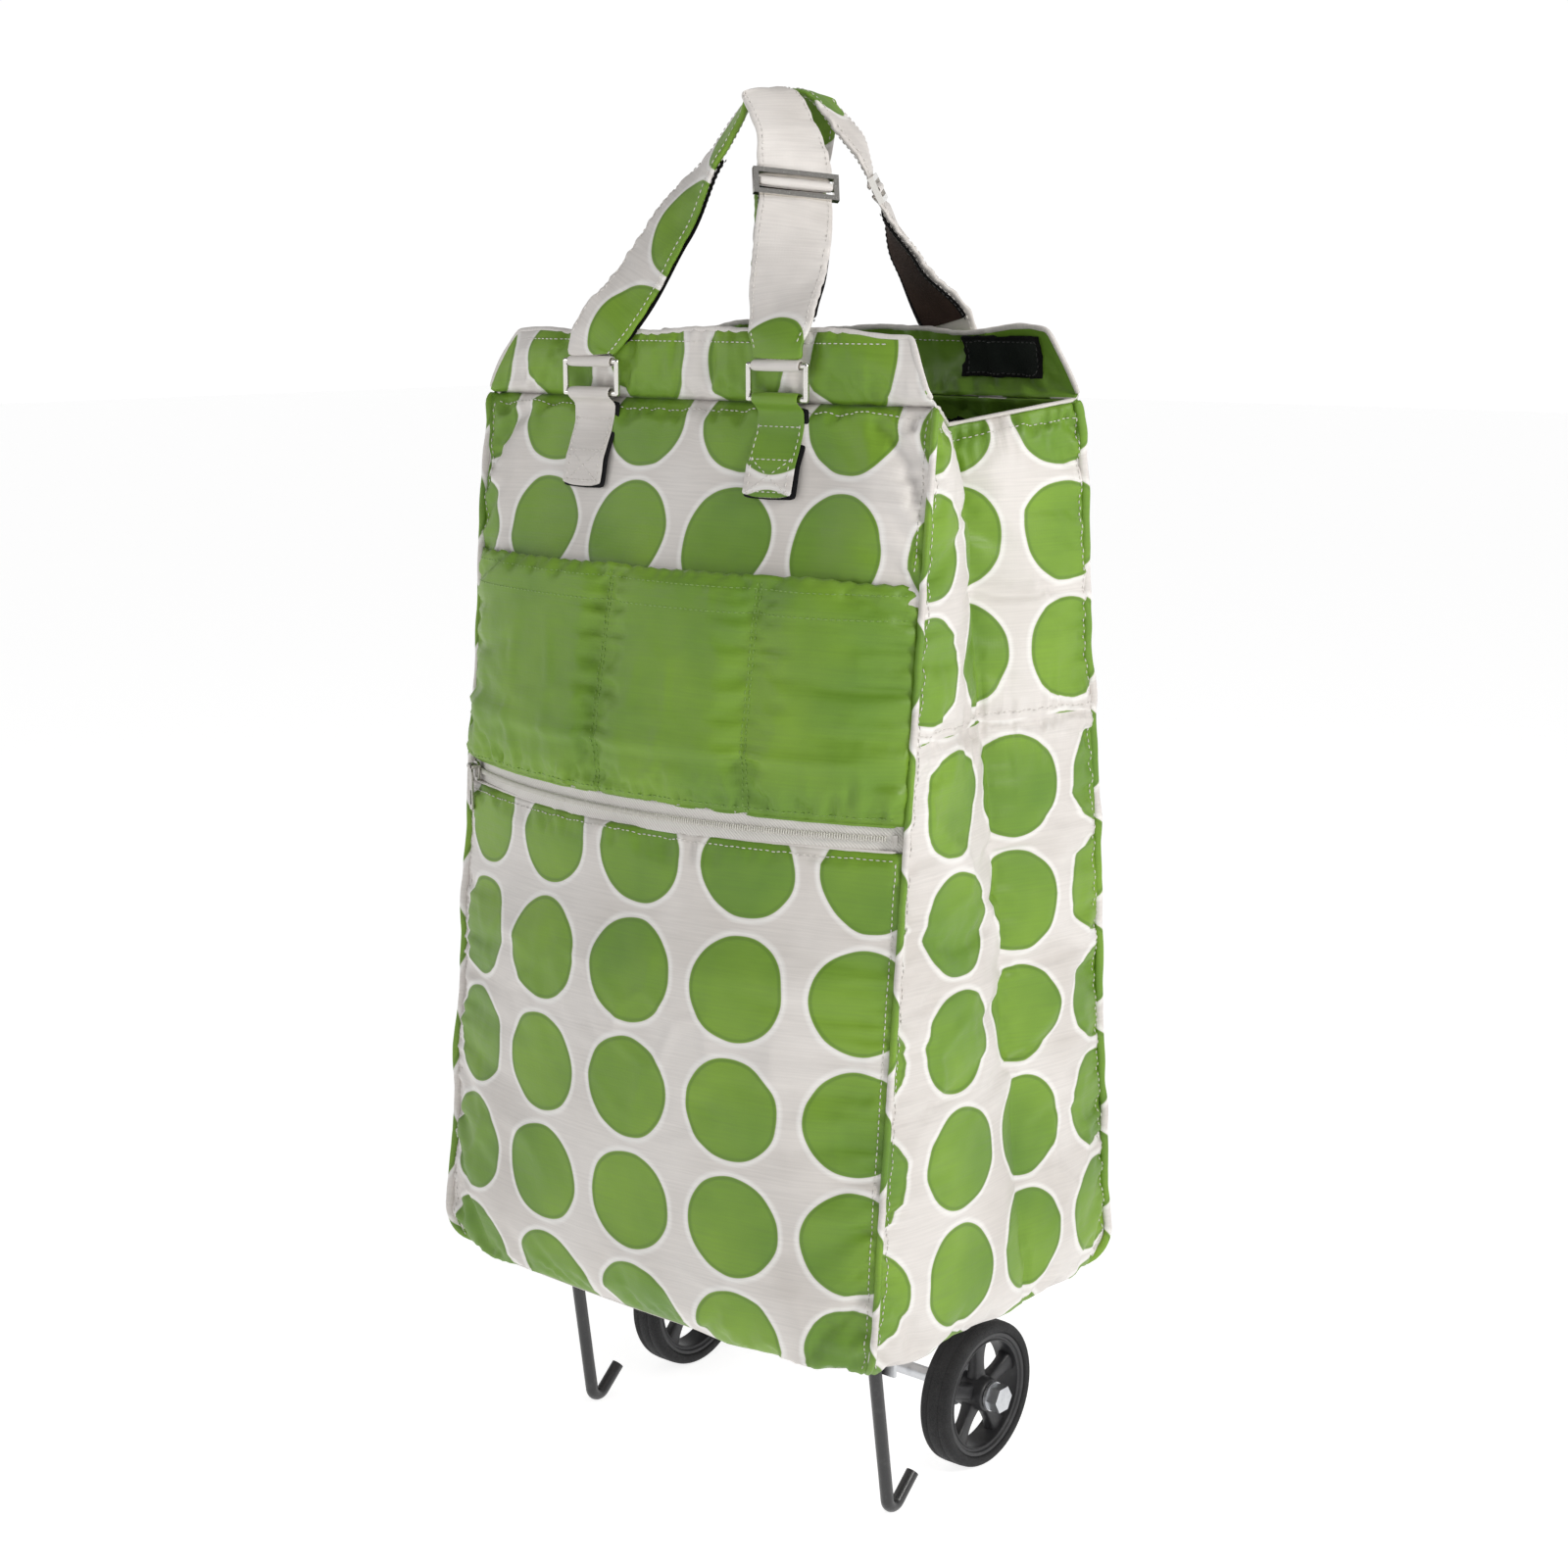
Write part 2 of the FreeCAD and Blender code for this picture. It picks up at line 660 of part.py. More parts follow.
def zipper_pull():
    y, z = bail_place()
    bore = bail_radius + pull_clearance
    half = pull_width / 2
    eye = disc_x(bore + pull_eye_wall, -half, half, y, z)
    blade = box((-half, half), (y - pull_wall / 2, y + pull_wall / 2), (z - pull_length, z))
    pull = eye.fuse(blade).removeSplitter()
    pull = pull.cut(disc_x(bore, -half - cut_past, half + cut_past, y, z))
    return parked(pull)


def zipper_stops():
    """A small metal stop at each end of the coil."""
    radius, centre = zip_arc()
    face = centre - radius - fabric_gap
    reach = coil_height / 2 + zip_stop_reach
    stop = box((-zip_stop_width / 2, zip_stop_width / 2), (face - zip_stop_wall, face),
               (zip_z - reach, zip_z + reach))
    beyond = math.degrees((slider_length / 2 + zip_stop_gap + zip_stop_width / 2) / radius)
    stops = []
    for sign in (-1, 1):
        end = stop.copy()
        end.rotate(Vector(0, centre, 0), Vector(0, 0, 1), sign * (zip_park_angle() + beyond))
        stops.append(end)
    return stops


def collar_half(z):
    return panel_half - collar_slant * (z - mouth_z) / collar_height


def collar_patch(side):
    """Hook-and-loop patch on a collar's inner face, near its right end."""
    middle_z = mouth_z + collar_height / 2 + patch_lift
    half = collar_half(middle_z)
    depth = surface_depth(patch_offset, middle_z, half) - fabric_wall - patch_gap
    slope = math.atan(2 * swell(middle_z) * patch_offset / half ** 2)
    patch = box((-patch_length / 2, patch_length / 2), (-patch_wall, 0),
                (-patch_height / 2, patch_height / 2))
    lean = math.degrees(math.atan2(collar_lean, collar_height))
    patch.rotate(Vector(0, 0, 0), Vector(1, 0, 0), lean)
    patch.rotate(Vector(0, 0, 0), Vector(0, 0, 1), -math.degrees(slope))
    patch.translate(Vector(patch_offset, depth, middle_z))
    return patch if side > 0 else patch.mirror(Vector(0, 0, 0), Vector(0, 1, 0))


def main():
    os.makedirs("parts", exist_ok=True)
    save("base_fabric", [base_fabric()])
    save("base_board", [base_board()])
    save("front_panel_lower", [panel(-1, levels(floor_z, zip_low_z, 3))])
    save("front_panel_upper", [panel(-1, levels(zip_high_z, mouth_z, 3))])
    save("back_panel", [panel(1, levels(floor_z, mouth_z, 5))])
    save("left_side_panel", [side_panel(-1)])
    save("right_side_panel", [side_panel(1)])
    save("corner_bindings", [corner_binding(x, y) for x in (-1, 1) for y in (-1, 1)])
    collar_levels = (mouth_z + fabric_gap, collar_top_z)
    save("front_collar", [panel(-1, collar_levels, half_at=collar_half)])
    save("back_collar", [panel(1, collar_levels, half_at=collar_half)])
    save("front_collar_patches", both_sides(collar_patch(-1)))
    save("back_collar_patches", both_sides(collar_patch(1)))

    pocket_levels = levels(pocket_low_z, pocket_high_z, 2)
    save("front_pocket", [panel(-1, pocket_levels, pocket_wall + 4 * fabric_gap, pocket_wall)])
    save("zipper_tape", [panel(-1, (zip_low_z, zip_high_z), -zip_tape_inset, zip_tape_wall)])
    coil_levels = (zip_z - coil_height / 2, zip_z + coil_height / 2)
    save("zipper_coil", [panel(-1, coil_levels, coil_wall, coil_wall)])
    save("zipper_stops", zipper_stops())
    save("zipper_slider", [zipper_slider()])
    save("zipper_pull", [zipper_pull()])

    save("front_tabs", both_sides(front_tab()))
    save("back_tabs", [back(tab) for tab in both_sides(front_tab())])
    handle = {"rings": both_sides(front_ring()), "tape": handle_tape(),
              "strap": [strap_solid(strap_stations(), strap_wall)],
              "tail": [strap_solid(tail_stations(), strap_wall)], "glide": [handle_glide()]}
    for name, solids in handle.items():
        save("front_handle_" + name, solids)
        save("back_handle_" + name, [back(solid) for solid in solids])

    save("axle", [axle()])
    save("axle_washers", [piece for washer in washers() for piece in both_sides(washer)])
    save("axle_nuts", both_sides(axle_nut()))
    right = {"axle_bracket": axle_bracket(), "wheel_hub": wheel_hub(), "wheel_tyre": wheel_tyre()}
    for name, solid in right.items():
        save("right_" + name, [solid])
        save("left_" + name, [mirror_x(solid)])
    save("stand", [stand()])
    save("stand_clips", both_sides(stand_clip()))
    save("stand_stops", both_sides(stand_stop()))
    save("rivets", [rivet(x, y, wall) for x, y, wall in rivet_places()])
    print("handle pivot %.4f %.4f" % handle_pivot())
    print("zip arc %.4f %.4f" % zip_arc(), "park angle %.4f" % zip_park_angle())
    print("bail %.4f %.4f" % bail_place(), "stand pivot %.4f %.4f" % (stand_pivot_y, stand_pivot_z))


main()
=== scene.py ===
import math

import bmesh
import bpy
import numpy as np
from mathutils import Matrix, Vector, noise


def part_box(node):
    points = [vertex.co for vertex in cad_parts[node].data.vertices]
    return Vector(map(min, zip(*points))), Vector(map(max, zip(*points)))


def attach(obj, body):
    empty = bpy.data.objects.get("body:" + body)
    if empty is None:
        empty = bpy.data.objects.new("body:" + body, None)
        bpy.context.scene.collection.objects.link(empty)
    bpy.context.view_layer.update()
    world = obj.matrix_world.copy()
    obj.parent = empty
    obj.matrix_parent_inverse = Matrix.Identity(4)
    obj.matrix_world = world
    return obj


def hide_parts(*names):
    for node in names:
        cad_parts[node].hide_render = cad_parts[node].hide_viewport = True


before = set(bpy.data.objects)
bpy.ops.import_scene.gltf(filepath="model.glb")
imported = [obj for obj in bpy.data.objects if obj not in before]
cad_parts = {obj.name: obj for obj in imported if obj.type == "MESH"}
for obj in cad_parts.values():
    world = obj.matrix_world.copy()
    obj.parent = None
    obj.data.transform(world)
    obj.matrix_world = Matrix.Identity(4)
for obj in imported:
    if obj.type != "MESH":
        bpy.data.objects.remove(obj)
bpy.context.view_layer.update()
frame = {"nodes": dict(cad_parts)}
scene = bpy.context.scene
cadNodes = frame["nodes"]
print("frame loaded:", len(cadNodes), "CAD parts")


# small helpers for new objects and for node trees
def placed(name, data):
    obj = bpy.data.objects.new(name, data)
    scene.collection.objects.link(obj)
    return obj


def feed(tree, node, **values):
    # sets or links a node's inputs, by name or, as i0, i1 and so on, by number
    for key, value in values.items():
        numbered = key[0] == "i" and key[1:].isdigit()
        socket = node.inputs[int(key[1:]) if numbered else key.replace("_", " ")]
        if isinstance(value, bpy.types.NodeSocket):
            tree.links.new(value, socket)
        else:
            socket.default_value = value
    return node


def addNode(tree, kind, settings=None, **values):
    node = tree.nodes.new(kind if kind.startswith(("Geometry", "Function")) else "ShaderNode" + kind)
    for key, value in (settings or {}).items():
        setattr(node, key, value)
    return feed(tree, node, **values)


def newGroup(name, inputs, outputs, kind="ShaderNodeTree"):
    tree = bpy.data.node_groups.new(name, kind)
    for label, socketKind, value in inputs:
        socket = tree.interface.new_socket(label, in_out="INPUT", socket_type="NodeSocket" + socketKind)
        if value is not None:
            socket.default_value = value
    for label, socketKind in outputs:
        tree.interface.new_socket(label, in_out="OUTPUT", socket_type="NodeSocket" + socketKind)
    return tree, tree.nodes.new("NodeGroupInput"), tree.nodes.new("NodeGroupOutput")


def mathNode(tree, operation, first, second=0.0):
    return addNode(tree, "Math", {"operation": operation}, i0=first, i1=second).outputs[0]


def remap(tree, value, low=0.0, high=1.0, first=0.0, last=1.0, settings=None):
    return addNode(tree, "MapRange", settings, i0=value, i1=low, i2=high, i3=first, i4=last).outputs[0]


# camera, floor and lights
studio = {
    "azimuth": 40.1, "elevation": 10.9, "distance": 1.3527, "lens": 58.71,
    "target": (0.0061, 0.0, 0.3689),
    "floorColour": (0.45, 0.45, 0.45), "floorGlow": 0.84, "floorReach": 12.0,
    "horizon": 1.02, "sky": 0.22, "bandLow": 0.12, "bandHigh": 0.34,
    "lightTarget": (0.0, 0.0, 0.36),
    "lights": {                  # place, size, power and colour
        "keyLight": ((1.75, -0.15, 1.30), 0.42, 19.0, (1.0, 0.985, 0.96)),
        "sideLight": ((-1.7, -1.35, 1.25), 0.4, 4.5, (0.97, 0.98, 1.0)),
        "topLight": ((0.1, 0.3, 2.3), 0.7, 4.5, (1.0, 1.0, 1.0)),
    },
}


def aimAt(obj, place, target):
    obj.location = place
    obj.rotation_mode = "QUATERNION"
    obj.rotation_quaternion = (Vector(target) - Vector(place)).to_track_quat("-Z", "Y")


def makeCamera():
    data = bpy.data.cameras.new("camera")
    data.lens = studio["lens"]
    camera = placed("camera", data)
    a, e = math.radians(studio["azimuth"]), math.radians(studio["elevation"])
    back = Vector((math.sin(a) * math.cos(e), -math.cos(a) * math.cos(e), math.sin(e)))
    aimAt(camera, Vector(studio["target"]) + back * studio["distance"], studio["target"])
    scene.camera = camera


def makeLights():
    for name, (place, size, power, colour) in studio["lights"].items():
        data = bpy.data.lights.new(name, "AREA")
        data.energy, data.size, data.color = power, size, colour
        aimAt(placed(name, data), place, studio["lightTarget"])
    world = bpy.data.worlds.new("studioWorld")
    scene.world = world
    world.use_nodes = True
    tree = world.node_tree
    split = addNode(tree, "SeparateXYZ", i0=addNode(tree, "TexCoord").outputs["Generated"])
    glow = remap(tree, split.outputs[2], studio["bandLow"], studio["bandHigh"], studio["horizon"],
                 studio["sky"], {"interpolation_type": "SMOOTHSTEP"})
    feed(tree, tree.nodes["Background"], Strength=glow, Color=(1.0, 1.0, 1.0, 1.0))


def makeFloor():
    mesh = bpy.data.meshes.new("floor")
    reach = studio["floorReach"]
    corners = [(-reach, -reach, 0), (reach, -reach, 0), (reach, reach, 0), (-reach, reach, 0)]
    mesh.from_pydata(corners, [], [(0, 1, 2, 3)])
    floor = placed("floor", mesh)
    material = bpy.data.materials.new("floorPaint")
    material.use_nodes = True
    feed(material.node_tree, material.node_tree.nodes["Principled BSDF"],
         Base_Color=(*studio["floorColour"], 1.0), Roughness=0.9,
         Emission_Color=(1.0, 1.0, 1.0, 1.0), Emission_Strength=studio["floorGlow"])
    mesh.materials.append(material)


makeCamera()
makeLights()
makeFloor()
scene.view_settings.view_transform = "Standard"
print("camera, floor and lights made")


# shader groups shared by the materials
def nearZero(tree, value, width, top=1.0):
    # full at zero, falling to nothing at the width
    share = mathNode(tree, "DIVIDE", value, width)
    return addNode(tree, "Math", {"operation": "SUBTRACT", "use_clamp": True}, i0=top, i1=share).outputs[0]


def dotPrintGroup():
    tree, inside, outside = newGroup(
        "dotPrint",
        [("Vector", "Vector", None), ("Column Pitch", "Float", 0.0635), ("Row Pitch", "Float", 0.0585),
         ("Radius", "Float", 0.0255), ("Softness", "Float", 0.0005)],
        [("Mask", "Float"), ("Rim", "Float"), ("Halo", "Float")])
    split = addNode(tree, "SeparateXYZ", i0=inside.outputs["Vector"])
    squares = []
    for axis, pitch in ((0, "Column Pitch"), (1, "Row Pitch")):
        share = mathNode(tree, "DIVIDE", split.outputs[axis], inside.outputs[pitch])
        share = mathNode(tree, "FRACT", mathNode(tree, "ADD", share, 100.5))
        away = mathNode(tree, "MULTIPLY", mathNode(tree, "SUBTRACT", share, 0.5), inside.outputs[pitch])
        squares.append(mathNode(tree, "MULTIPLY", away, away))
    wobble = addNode(tree, "TexNoise", {"noise_dimensions": "2D"}, Vector=inside.outputs["Vector"],
                     Scale=38.0, Detail=1.0)
    distance = mathNode(tree, "SQRT", mathNode(tree, "ADD", squares[0], squares[1]))
    drift = mathNode(tree, "MULTIPLY", mathNode(tree, "SUBTRACT", wobble.outputs[0], 0.5), 0.0022)
    edge = mathNode(tree, "SUBTRACT", mathNode(tree, "ADD", distance, drift), inside.outputs["Radius"])
    inner = mathNode(tree, "ABSOLUTE", mathNode(tree, "ADD", edge, 0.0012))
    beyond = mathNode(tree, "ABSOLUTE", mathNode(tree, "SUBTRACT", edge, 0.0014))
    feed(tree, outside, Mask=nearZero(tree, edge, inside.outputs["Softness"], 0.5),
         Rim=nearZero(tree, inner, 0.0012), Halo=nearZero(tree, beyond, 0.0020))
    return tree


def weaveGroup():
    tree, inside, outside = newGroup(
        "plainWeave",
        [("Vector", "Vector", None), ("Threads", "Float", 1400.0), ("Slub", "Float", 0.4)],
        [("Height", "Float"), ("Thread", "Float")])
    waves = []
    for direction in ("X", "Y"):
        scale = mathNode(tree, "MULTIPLY", inside.outputs["Threads"], 0.159)
        wave = addNode(tree, "TexWave", {"bands_direction": direction}, Vector=inside.outputs["Vector"],
                       Scale=scale, Distortion=0.0)
        waves.append(mathNode(tree, "MULTIPLY", wave.outputs[1], 0.5))
    drawnOut = addNode(tree, "Mapping", i0=inside.outputs["Vector"], Scale=(30.0, 900.0, 1.0)).outputs[0]
    slub = addNode(tree, "TexNoise", Vector=drawnOut, Scale=1.0, Detail=2.0).outputs[0]
    spread = mathNode(tree, "MULTIPLY", slub, inside.outputs["Slub"])
    feed(tree, outside, Height=mathNode(tree, "ADD", mathNode(tree, "ADD", *waves), spread), Thread=slub)
    return tree


def crumpleGroup():
    tree, inside, outside = newGroup(
        "crumple",
        [("Vector", "Vector", None), ("Scale", "Float", 28.0), ("Sharpness", "Float", 0.6)],
        [("Height", "Float"), ("Mask", "Float")])
    bent = addNode(tree, "TexNoise", Vector=inside.outputs["Vector"], Scale=9.0, Detail=2.0)
    moved = addNode(tree, "VectorMath", {"operation": "MULTIPLY_ADD"}, i0=bent.outputs[1],
                    i1=(0.05, 0.05, 0.05), i2=inside.outputs["Vector"])
    coarse = addNode(tree, "TexNoise", {"noise_type": "RIDGED_MULTIFRACTAL"}, Vector=moved.outputs[0],
                     Scale=inside.outputs["Scale"], Detail=3.0, Roughness=inside.outputs["Sharpness"])
    fine = addNode(tree, "TexNoise", Vector=inside.outputs["Vector"],
                   Scale=mathNode(tree, "MULTIPLY", inside.outputs["Scale"], 3.1), Detail=3.0)
    height = mathNode(tree, "ADD", mathNode(tree, "MULTIPLY", coarse.outputs[0], 0.6),
                      mathNode(tree, "MULTIPLY", fine.outputs[0], 0.25))
    feed(tree, outside, Height=height, Mask=coarse.outputs[0])
    return tree


def wearGroup():
    tree, inside, outside = newGroup(
        "surfaceWear",
        [("Vector", "Vector", None), ("Scale", "Float", 120.0), ("Amount", "Float", 0.35)],
        [("Mask", "Float"), ("Grain", "Float")])
    patches = addNode(tree, "TexNoise", Vector=inside.outputs["Vector"], Scale=inside.outputs["Scale"],
                      Detail=4.0, Roughness=0.65)
    grain = addNode(tree, "TexNoise", Vector=inside.outputs["Vector"],
                    Scale=mathNode(tree, "MULTIPLY", inside.outputs["Scale"], 18.0), Detail=2.0)
    low = mathNode(tree, "SUBTRACT", 0.78, mathNode(tree, "MULTIPLY", inside.outputs["Amount"], 0.5))
    feed(tree, outside, Mask=remap(tree, patches.outputs[0], low, 0.85), Grain=grain.outputs[0])
    return tree


groups = {"dot": dotPrintGroup(), "weave": weaveGroup(), "crumple": crumpleGroup(), "wear": wearGroup()}


def useGroup(tree, name, **values):
    return addNode(tree, "Group", {"node_tree": groups[name]}, **values)


def newMaterial(name, **constants):
    material = bpy.data.materials.new(name)
    material.use_nodes = True
    tree = material.node_tree
    return material, tree, feed(tree, tree.nodes["Principled BSDF"], **constants)


def flatPlace(tree):
    return addNode(tree, "UVMap", {"uv_map": "flat"}).outputs[0]


def objectPlace(tree):
    return addNode(tree, "TexCoord").outputs["Object"]


def mixColour(tree, factor, first, second, blend="MIX"):
    below, above = ((*c, 1.0) if isinstance(c, tuple) else c for c in (first, second))
    return addNode(tree, "Mix", {"data_type": "RGBA", "blend_type": blend}, i0=factor, i6=below,
                   i7=above).outputs[2]


def bumpChain(tree, shader, heights):
    below = {}
    for height, strength, distance in heights:
        bump = addNode(tree, "Bump", Strength=strength, Distance=distance, Height=height, **below)
        below = {"Normal": bump.outputs[0]}
    feed(tree, shader, **below)


# fabric finishes
colours = {
    "haloWhite": (0.84, 0.825, 0.80), "white": (0.70, 0.665, 0.635), "shadedWhite": (0.575, 0.535, 0.50),
    "green": (0.185, 0.335, 0.022), "deepGreen": (0.105, 0.225, 0.016), "rimGreen": (0.095, 0.195, 0.016),
    "lining": (0.15, 0.29, 0.025),
    "brown": (0.036, 0.019, 0.014), "black": (0.003, 0.003, 0.003),
}


def clothMaterial(name, base, shade, printed=None, printShade=None, crumpleBump=0.6):
    material, tree, shader = newMaterial(name, Roughness=0.5, Sheen_Weight=0.06, Sheen_Roughness=0.4)
    flat, place = flatPlace(tree), objectPlace(tree)
    weave = useGroup(tree, "weave", Vector=flat)
    crumple = useGroup(tree, "crumple", Vector=place)
    cloud = addNode(tree, "TexNoise", Vector=place, Scale=14.0, Detail=3.0).outputs[0]
    colour = mixColour(tree, remap(tree, cloud, 0.4, 0.75), base, shade)
    if printed:
        dots = useGroup(tree, "dot", Vector=flat)
        ink = mixColour(tree, remap(tree, cloud, 0.35, 0.7), printed, printShade)
        rim = mathNode(tree, "MULTIPLY", dots.outputs["Rim"], 0.75)
        ink = mixColour(tree, rim, ink, colours["rimGreen"])
        halo = mathNode(tree, "MULTIPLY", dots.outputs["Halo"], 0.8)
        colour = mixColour(tree, halo, colour, colours["haloWhite"])
        colour = mixColour(tree, dots.outputs["Mask"], colour, ink)
    # painted highlight: the ridges of the crumple pattern are screened with a lighter copy of the cloth's
    # colour, like light catching the satin's creases
    crease = remap(tree, crumple.outputs["Mask"], 0.55, 1.25, 0.0, 0.30)
    ridgeHighlight = tuple(min(1.0, c * 1.35 + 0.02) for c in (printed or base))
    colour = mixColour(tree, crease, colour, ridgeHighlight, "SCREEN")
    thread = remap(tree, weave.outputs["Thread"], 0.3, 0.7, 0.94, 1.04)
    grey = addNode(tree, "CombineColor", i0=thread, i1=thread, i2=thread).outputs[0]
    feed(tree, shader, Base_Color=mixColour(tree, 1.0, colour, grey, "MULTIPLY"),
         Roughness=remap(tree, weave.outputs["Thread"], 0.25, 0.75, 0.44, 0.6))
    bumpChain(tree, shader, [(crumple.outputs["Height"], crumpleBump, 0.003),
                             (weave.outputs["Height"], 0.16, 0.00012)])
    return material


def napMaterial(name, colour, lighter, shadowEdges):
    material, tree, shader = newMaterial(name, Roughness=0.95, Sheen_Weight=0.03, Sheen_Roughness=0.6,
                                         Specular_IOR_Level=0.15)
    place = objectPlace(tree)
    nap = addNode(tree, "TexNoise", Vector=place, Scale=900.0, Detail=3.0).outputs[0]
    patch = addNode(tree, "TexNoise", Vector=place, Scale=60.0, Detail=3.0).outputs[0]
    mixed = mixColour(tree, remap(tree, patch, 0.35, 0.7), colour, lighter)
    if shadowEdges:
        # painted shadow: near the edges of the strips and patches the colour is mixed to black, a painted
        # shadow line where they meet the cloth beside them
        edge = addNode(tree, "SeparateXYZ", i0=flatPlace(tree)).outputs[0]
        mixed = mixColour(tree, remap(tree, edge, 0.80, 0.84), mixed, colours["black"])
    feed(tree, shader, Base_Color=mixed, Roughness=remap(tree, nap, 0.0, 1.0, 0.8, 1.0))
    bumpChain(tree, shader, [(nap, 0.8, 0.0006)])
    return material


def threadMaterial(name, colour):
    material, tree, shader = newMaterial(name, Roughness=0.6, Sheen_Weight=0.3)
    twist = addNode(tree, "TexWave", {"bands_direction": "DIAGONAL"}, Vector=objectPlace(tree), Scale=700.0,
                    Distortion=1.0).outputs[1]
    feed(tree, shader, Base_Color=mixColour(tree, twist, tuple(c * 0.75 for c in colour), colour))
    bumpChain(tree, shader, [(twist, 0.5, 0.0002)])
    return material


def tapeMaterial():
    material, tree, shader = newMaterial("zipTapeWeave", Roughness=0.7, Sheen_Weight=0.2)
    flat = flatPlace(tree)
    twill = addNode(tree, "TexWave", {"bands_direction": "DIAGONAL"}, Vector=flat, Scale=330.0,
                    Distortion=0.4).outputs[1]
    soil = addNode(tree, "TexNoise", Vector=flat, Scale=60.0, Detail=4.0).outputs[0]
    colour = mixColour(tree, twill, (0.60, 0.575, 0.54), (0.75, 0.725, 0.69))
    colour = mixColour(tree, remap(tree, soil, 0.45, 0.8, 0.0, 0.35), colour, (0.5, 0.47, 0.43))
    feed(tree, shader, Base_Color=colour)
    bumpChain(tree, shader, [(twill, 0.5, 0.0003)])
    return material


# hard finishes: metals, and mouldings and paints
def wornMaterial(name, colour, worn, scale, amount, roughest, bump, **constants):
    material, tree, shader = newMaterial(name, **constants)
    wear = useGroup(tree, "wear", Vector=objectPlace(tree), Scale=scale, Amount=amount)
    feed(tree, shader, Base_Color=mixColour(tree, wear.outputs["Mask"], colour, worn),
         Roughness=remap(tree, wear.outputs["Grain"], 0.3, 0.7, *roughest))
    bumpChain(tree, shader, [(wear.outputs["Grain"], *bump)])
    return material


def metalMaterial(name, colour, dull, roughness, wear=0.4):
    return wornMaterial(name, colour, dull, 140.0, wear, (roughness * 0.8, roughness * 1.4),
                        (0.12, 0.0002), Metallic=1.0)


def plasticMaterial(name, colour, scuffed, roughness, coat=0.0, scale=160.0, bump=0.25):
    limits = (roughness * 0.85, min(roughness * 1.25, 1.0))
    return wornMaterial(name, colour, scuffed, scale, 0.5, limits, (bump, 0.0003), Coat_Weight=coat,
                        Coat_Roughness=0.25)


materials = {
    "dots": clothMaterial("dotSatin", colours["white"], colours["shadedWhite"], colours["green"],
                          colours["deepGreen"]),
    "green": clothMaterial("greenSatin", colours["green"], colours["deepGreen"], crumpleBump=0.7),
    "white": clothMaterial("whiteSatin", colours["white"], colours["shadedWhite"]),
    "lining": clothMaterial("greenLining", colours["lining"], colours["deepGreen"]),
    "brownNap": napMaterial("brownLoop", colours["brown"], (0.055, 0.031, 0.023), True),
    "blackNap": napMaterial("blackHook", (0.006, 0.009, 0.007), (0.012, 0.016, 0.013), True),
    "webbing": napMaterial("blackWebbing", (0.004, 0.004, 0.005), (0.010, 0.010, 0.011), False),
    "tape": tapeMaterial(),
    "whiteThread": threadMaterial("whiteThread", (0.78, 0.75, 0.71)),
    "greenThread": threadMaterial("greenThread", (0.24, 0.42, 0.07)),
    "blackThread": threadMaterial("blackThread", (0.02, 0.02, 0.02)),
    "coil": plasticMaterial("coilNylon", (0.64, 0.62, 0.57), (0.5, 0.48, 0.44), 0.4),
    "nickel": metalMaterial("nickelWire", (0.74, 0.72, 0.68), (0.5, 0.48, 0.44), 0.2),
    "zipMetal": metalMaterial("zipNickel", (0.5, 0.48, 0.45), (0.3, 0.28, 0.25), 0.32, 0.6),
    "zinc": metalMaterial("zincPlate", (0.62, 0.63, 0.65), (0.4, 0.41, 0.43), 0.34, 0.6),
    "rod": plasticMaterial("blackRodPaint", (0.012, 0.012, 0.013), (0.035, 0.035, 0.036), 0.32, 0.4),
    "hub": plasticMaterial("wheelMoulding", (0.022, 0.022, 0.024), (0.05, 0.05, 0.052), 0.42),
    "tyre": plasticMaterial("tyreRubber", (0.012, 0.012, 0.013), (0.03, 0.03, 0.03), 0.78, 0.0, 90.0, 0.5),
    "board": plasticMaterial("pressedBoard", (0.1, 0.1, 0.11), (0.16, 0.16, 0.165), 0.85, 0.0, 60.0, 0.6),
}
print("materials made:", len(materials))


# mesh helpers
def addPiece(name, verts, faces, uvs, materialNames, recalculate=False):
    mesh = bpy.data.meshes.new(name)
    mesh.from_pydata([tuple(v) for v in verts], [], faces)
    mesh.uv_layers.new(name="flat").data.foreach_set("uv", np.asarray(uvs, float).ravel())
    for materialName in materialNames:
        mesh.materials.append(materials[materialName])
    mesh.polygons.foreach_set("use_smooth", [True] * len(mesh.polygons))
    if recalculate:
        built = bmesh.new()
        built.from_mesh(mesh)
        bmesh.ops.recalc_face_normals(built, faces=built.faces)
        built.to_mesh(mesh)
        built.free()
    mesh.update()
    return placed(name, mesh)


def gridFaces(rows, columns):
    return [(j * columns + i, j * columns + i + 1, (j + 1) * columns + i + 1, (j + 1) * columns + i)
            for j in range(rows - 1) for i in range(columns - 1)]


def ringFaces(rings, sides, joined=False):
    # faces between rings of points; joined rings come round to the first one again
    rows = range(rings if joined else rings - 1)
    return [(j * sides + i, j * sides + (i + 1) % sides, (j + 1) % rings * sides + (i + 1) % sides,
             (j + 1) % rings * sides + i) for j in rows for i in range(sides)]


def addSubdivision(obj):
    modifier = obj.modifiers.new("subdivide", "SUBSURF")
    modifier.levels = modifier.render_levels = 1


def addWall(obj, thickness, liningOffset=1):
    modifier = obj.modifiers.new("wall", "SOLIDIFY")
    modifier.thickness = thickness
    modifier.offset = -1.0
    modifier.material_offset = liningOffset


def addBevel(obj, width, segments):
    modifier = obj.modifiers.new("edge", "BEVEL")
    modifier.width, modifier.segments, modifier.limit_method = width, segments, "ANGLE"
    return modifier


crinkle = {
    "pitch": 0.0082, "gather": 0.0007, "reach": 0.008,          # the gathers beside the seams
    "fold": 0.0009, "cells": 30.0, "foldWidth": 0.16,           # the little folds
}
shown = {}


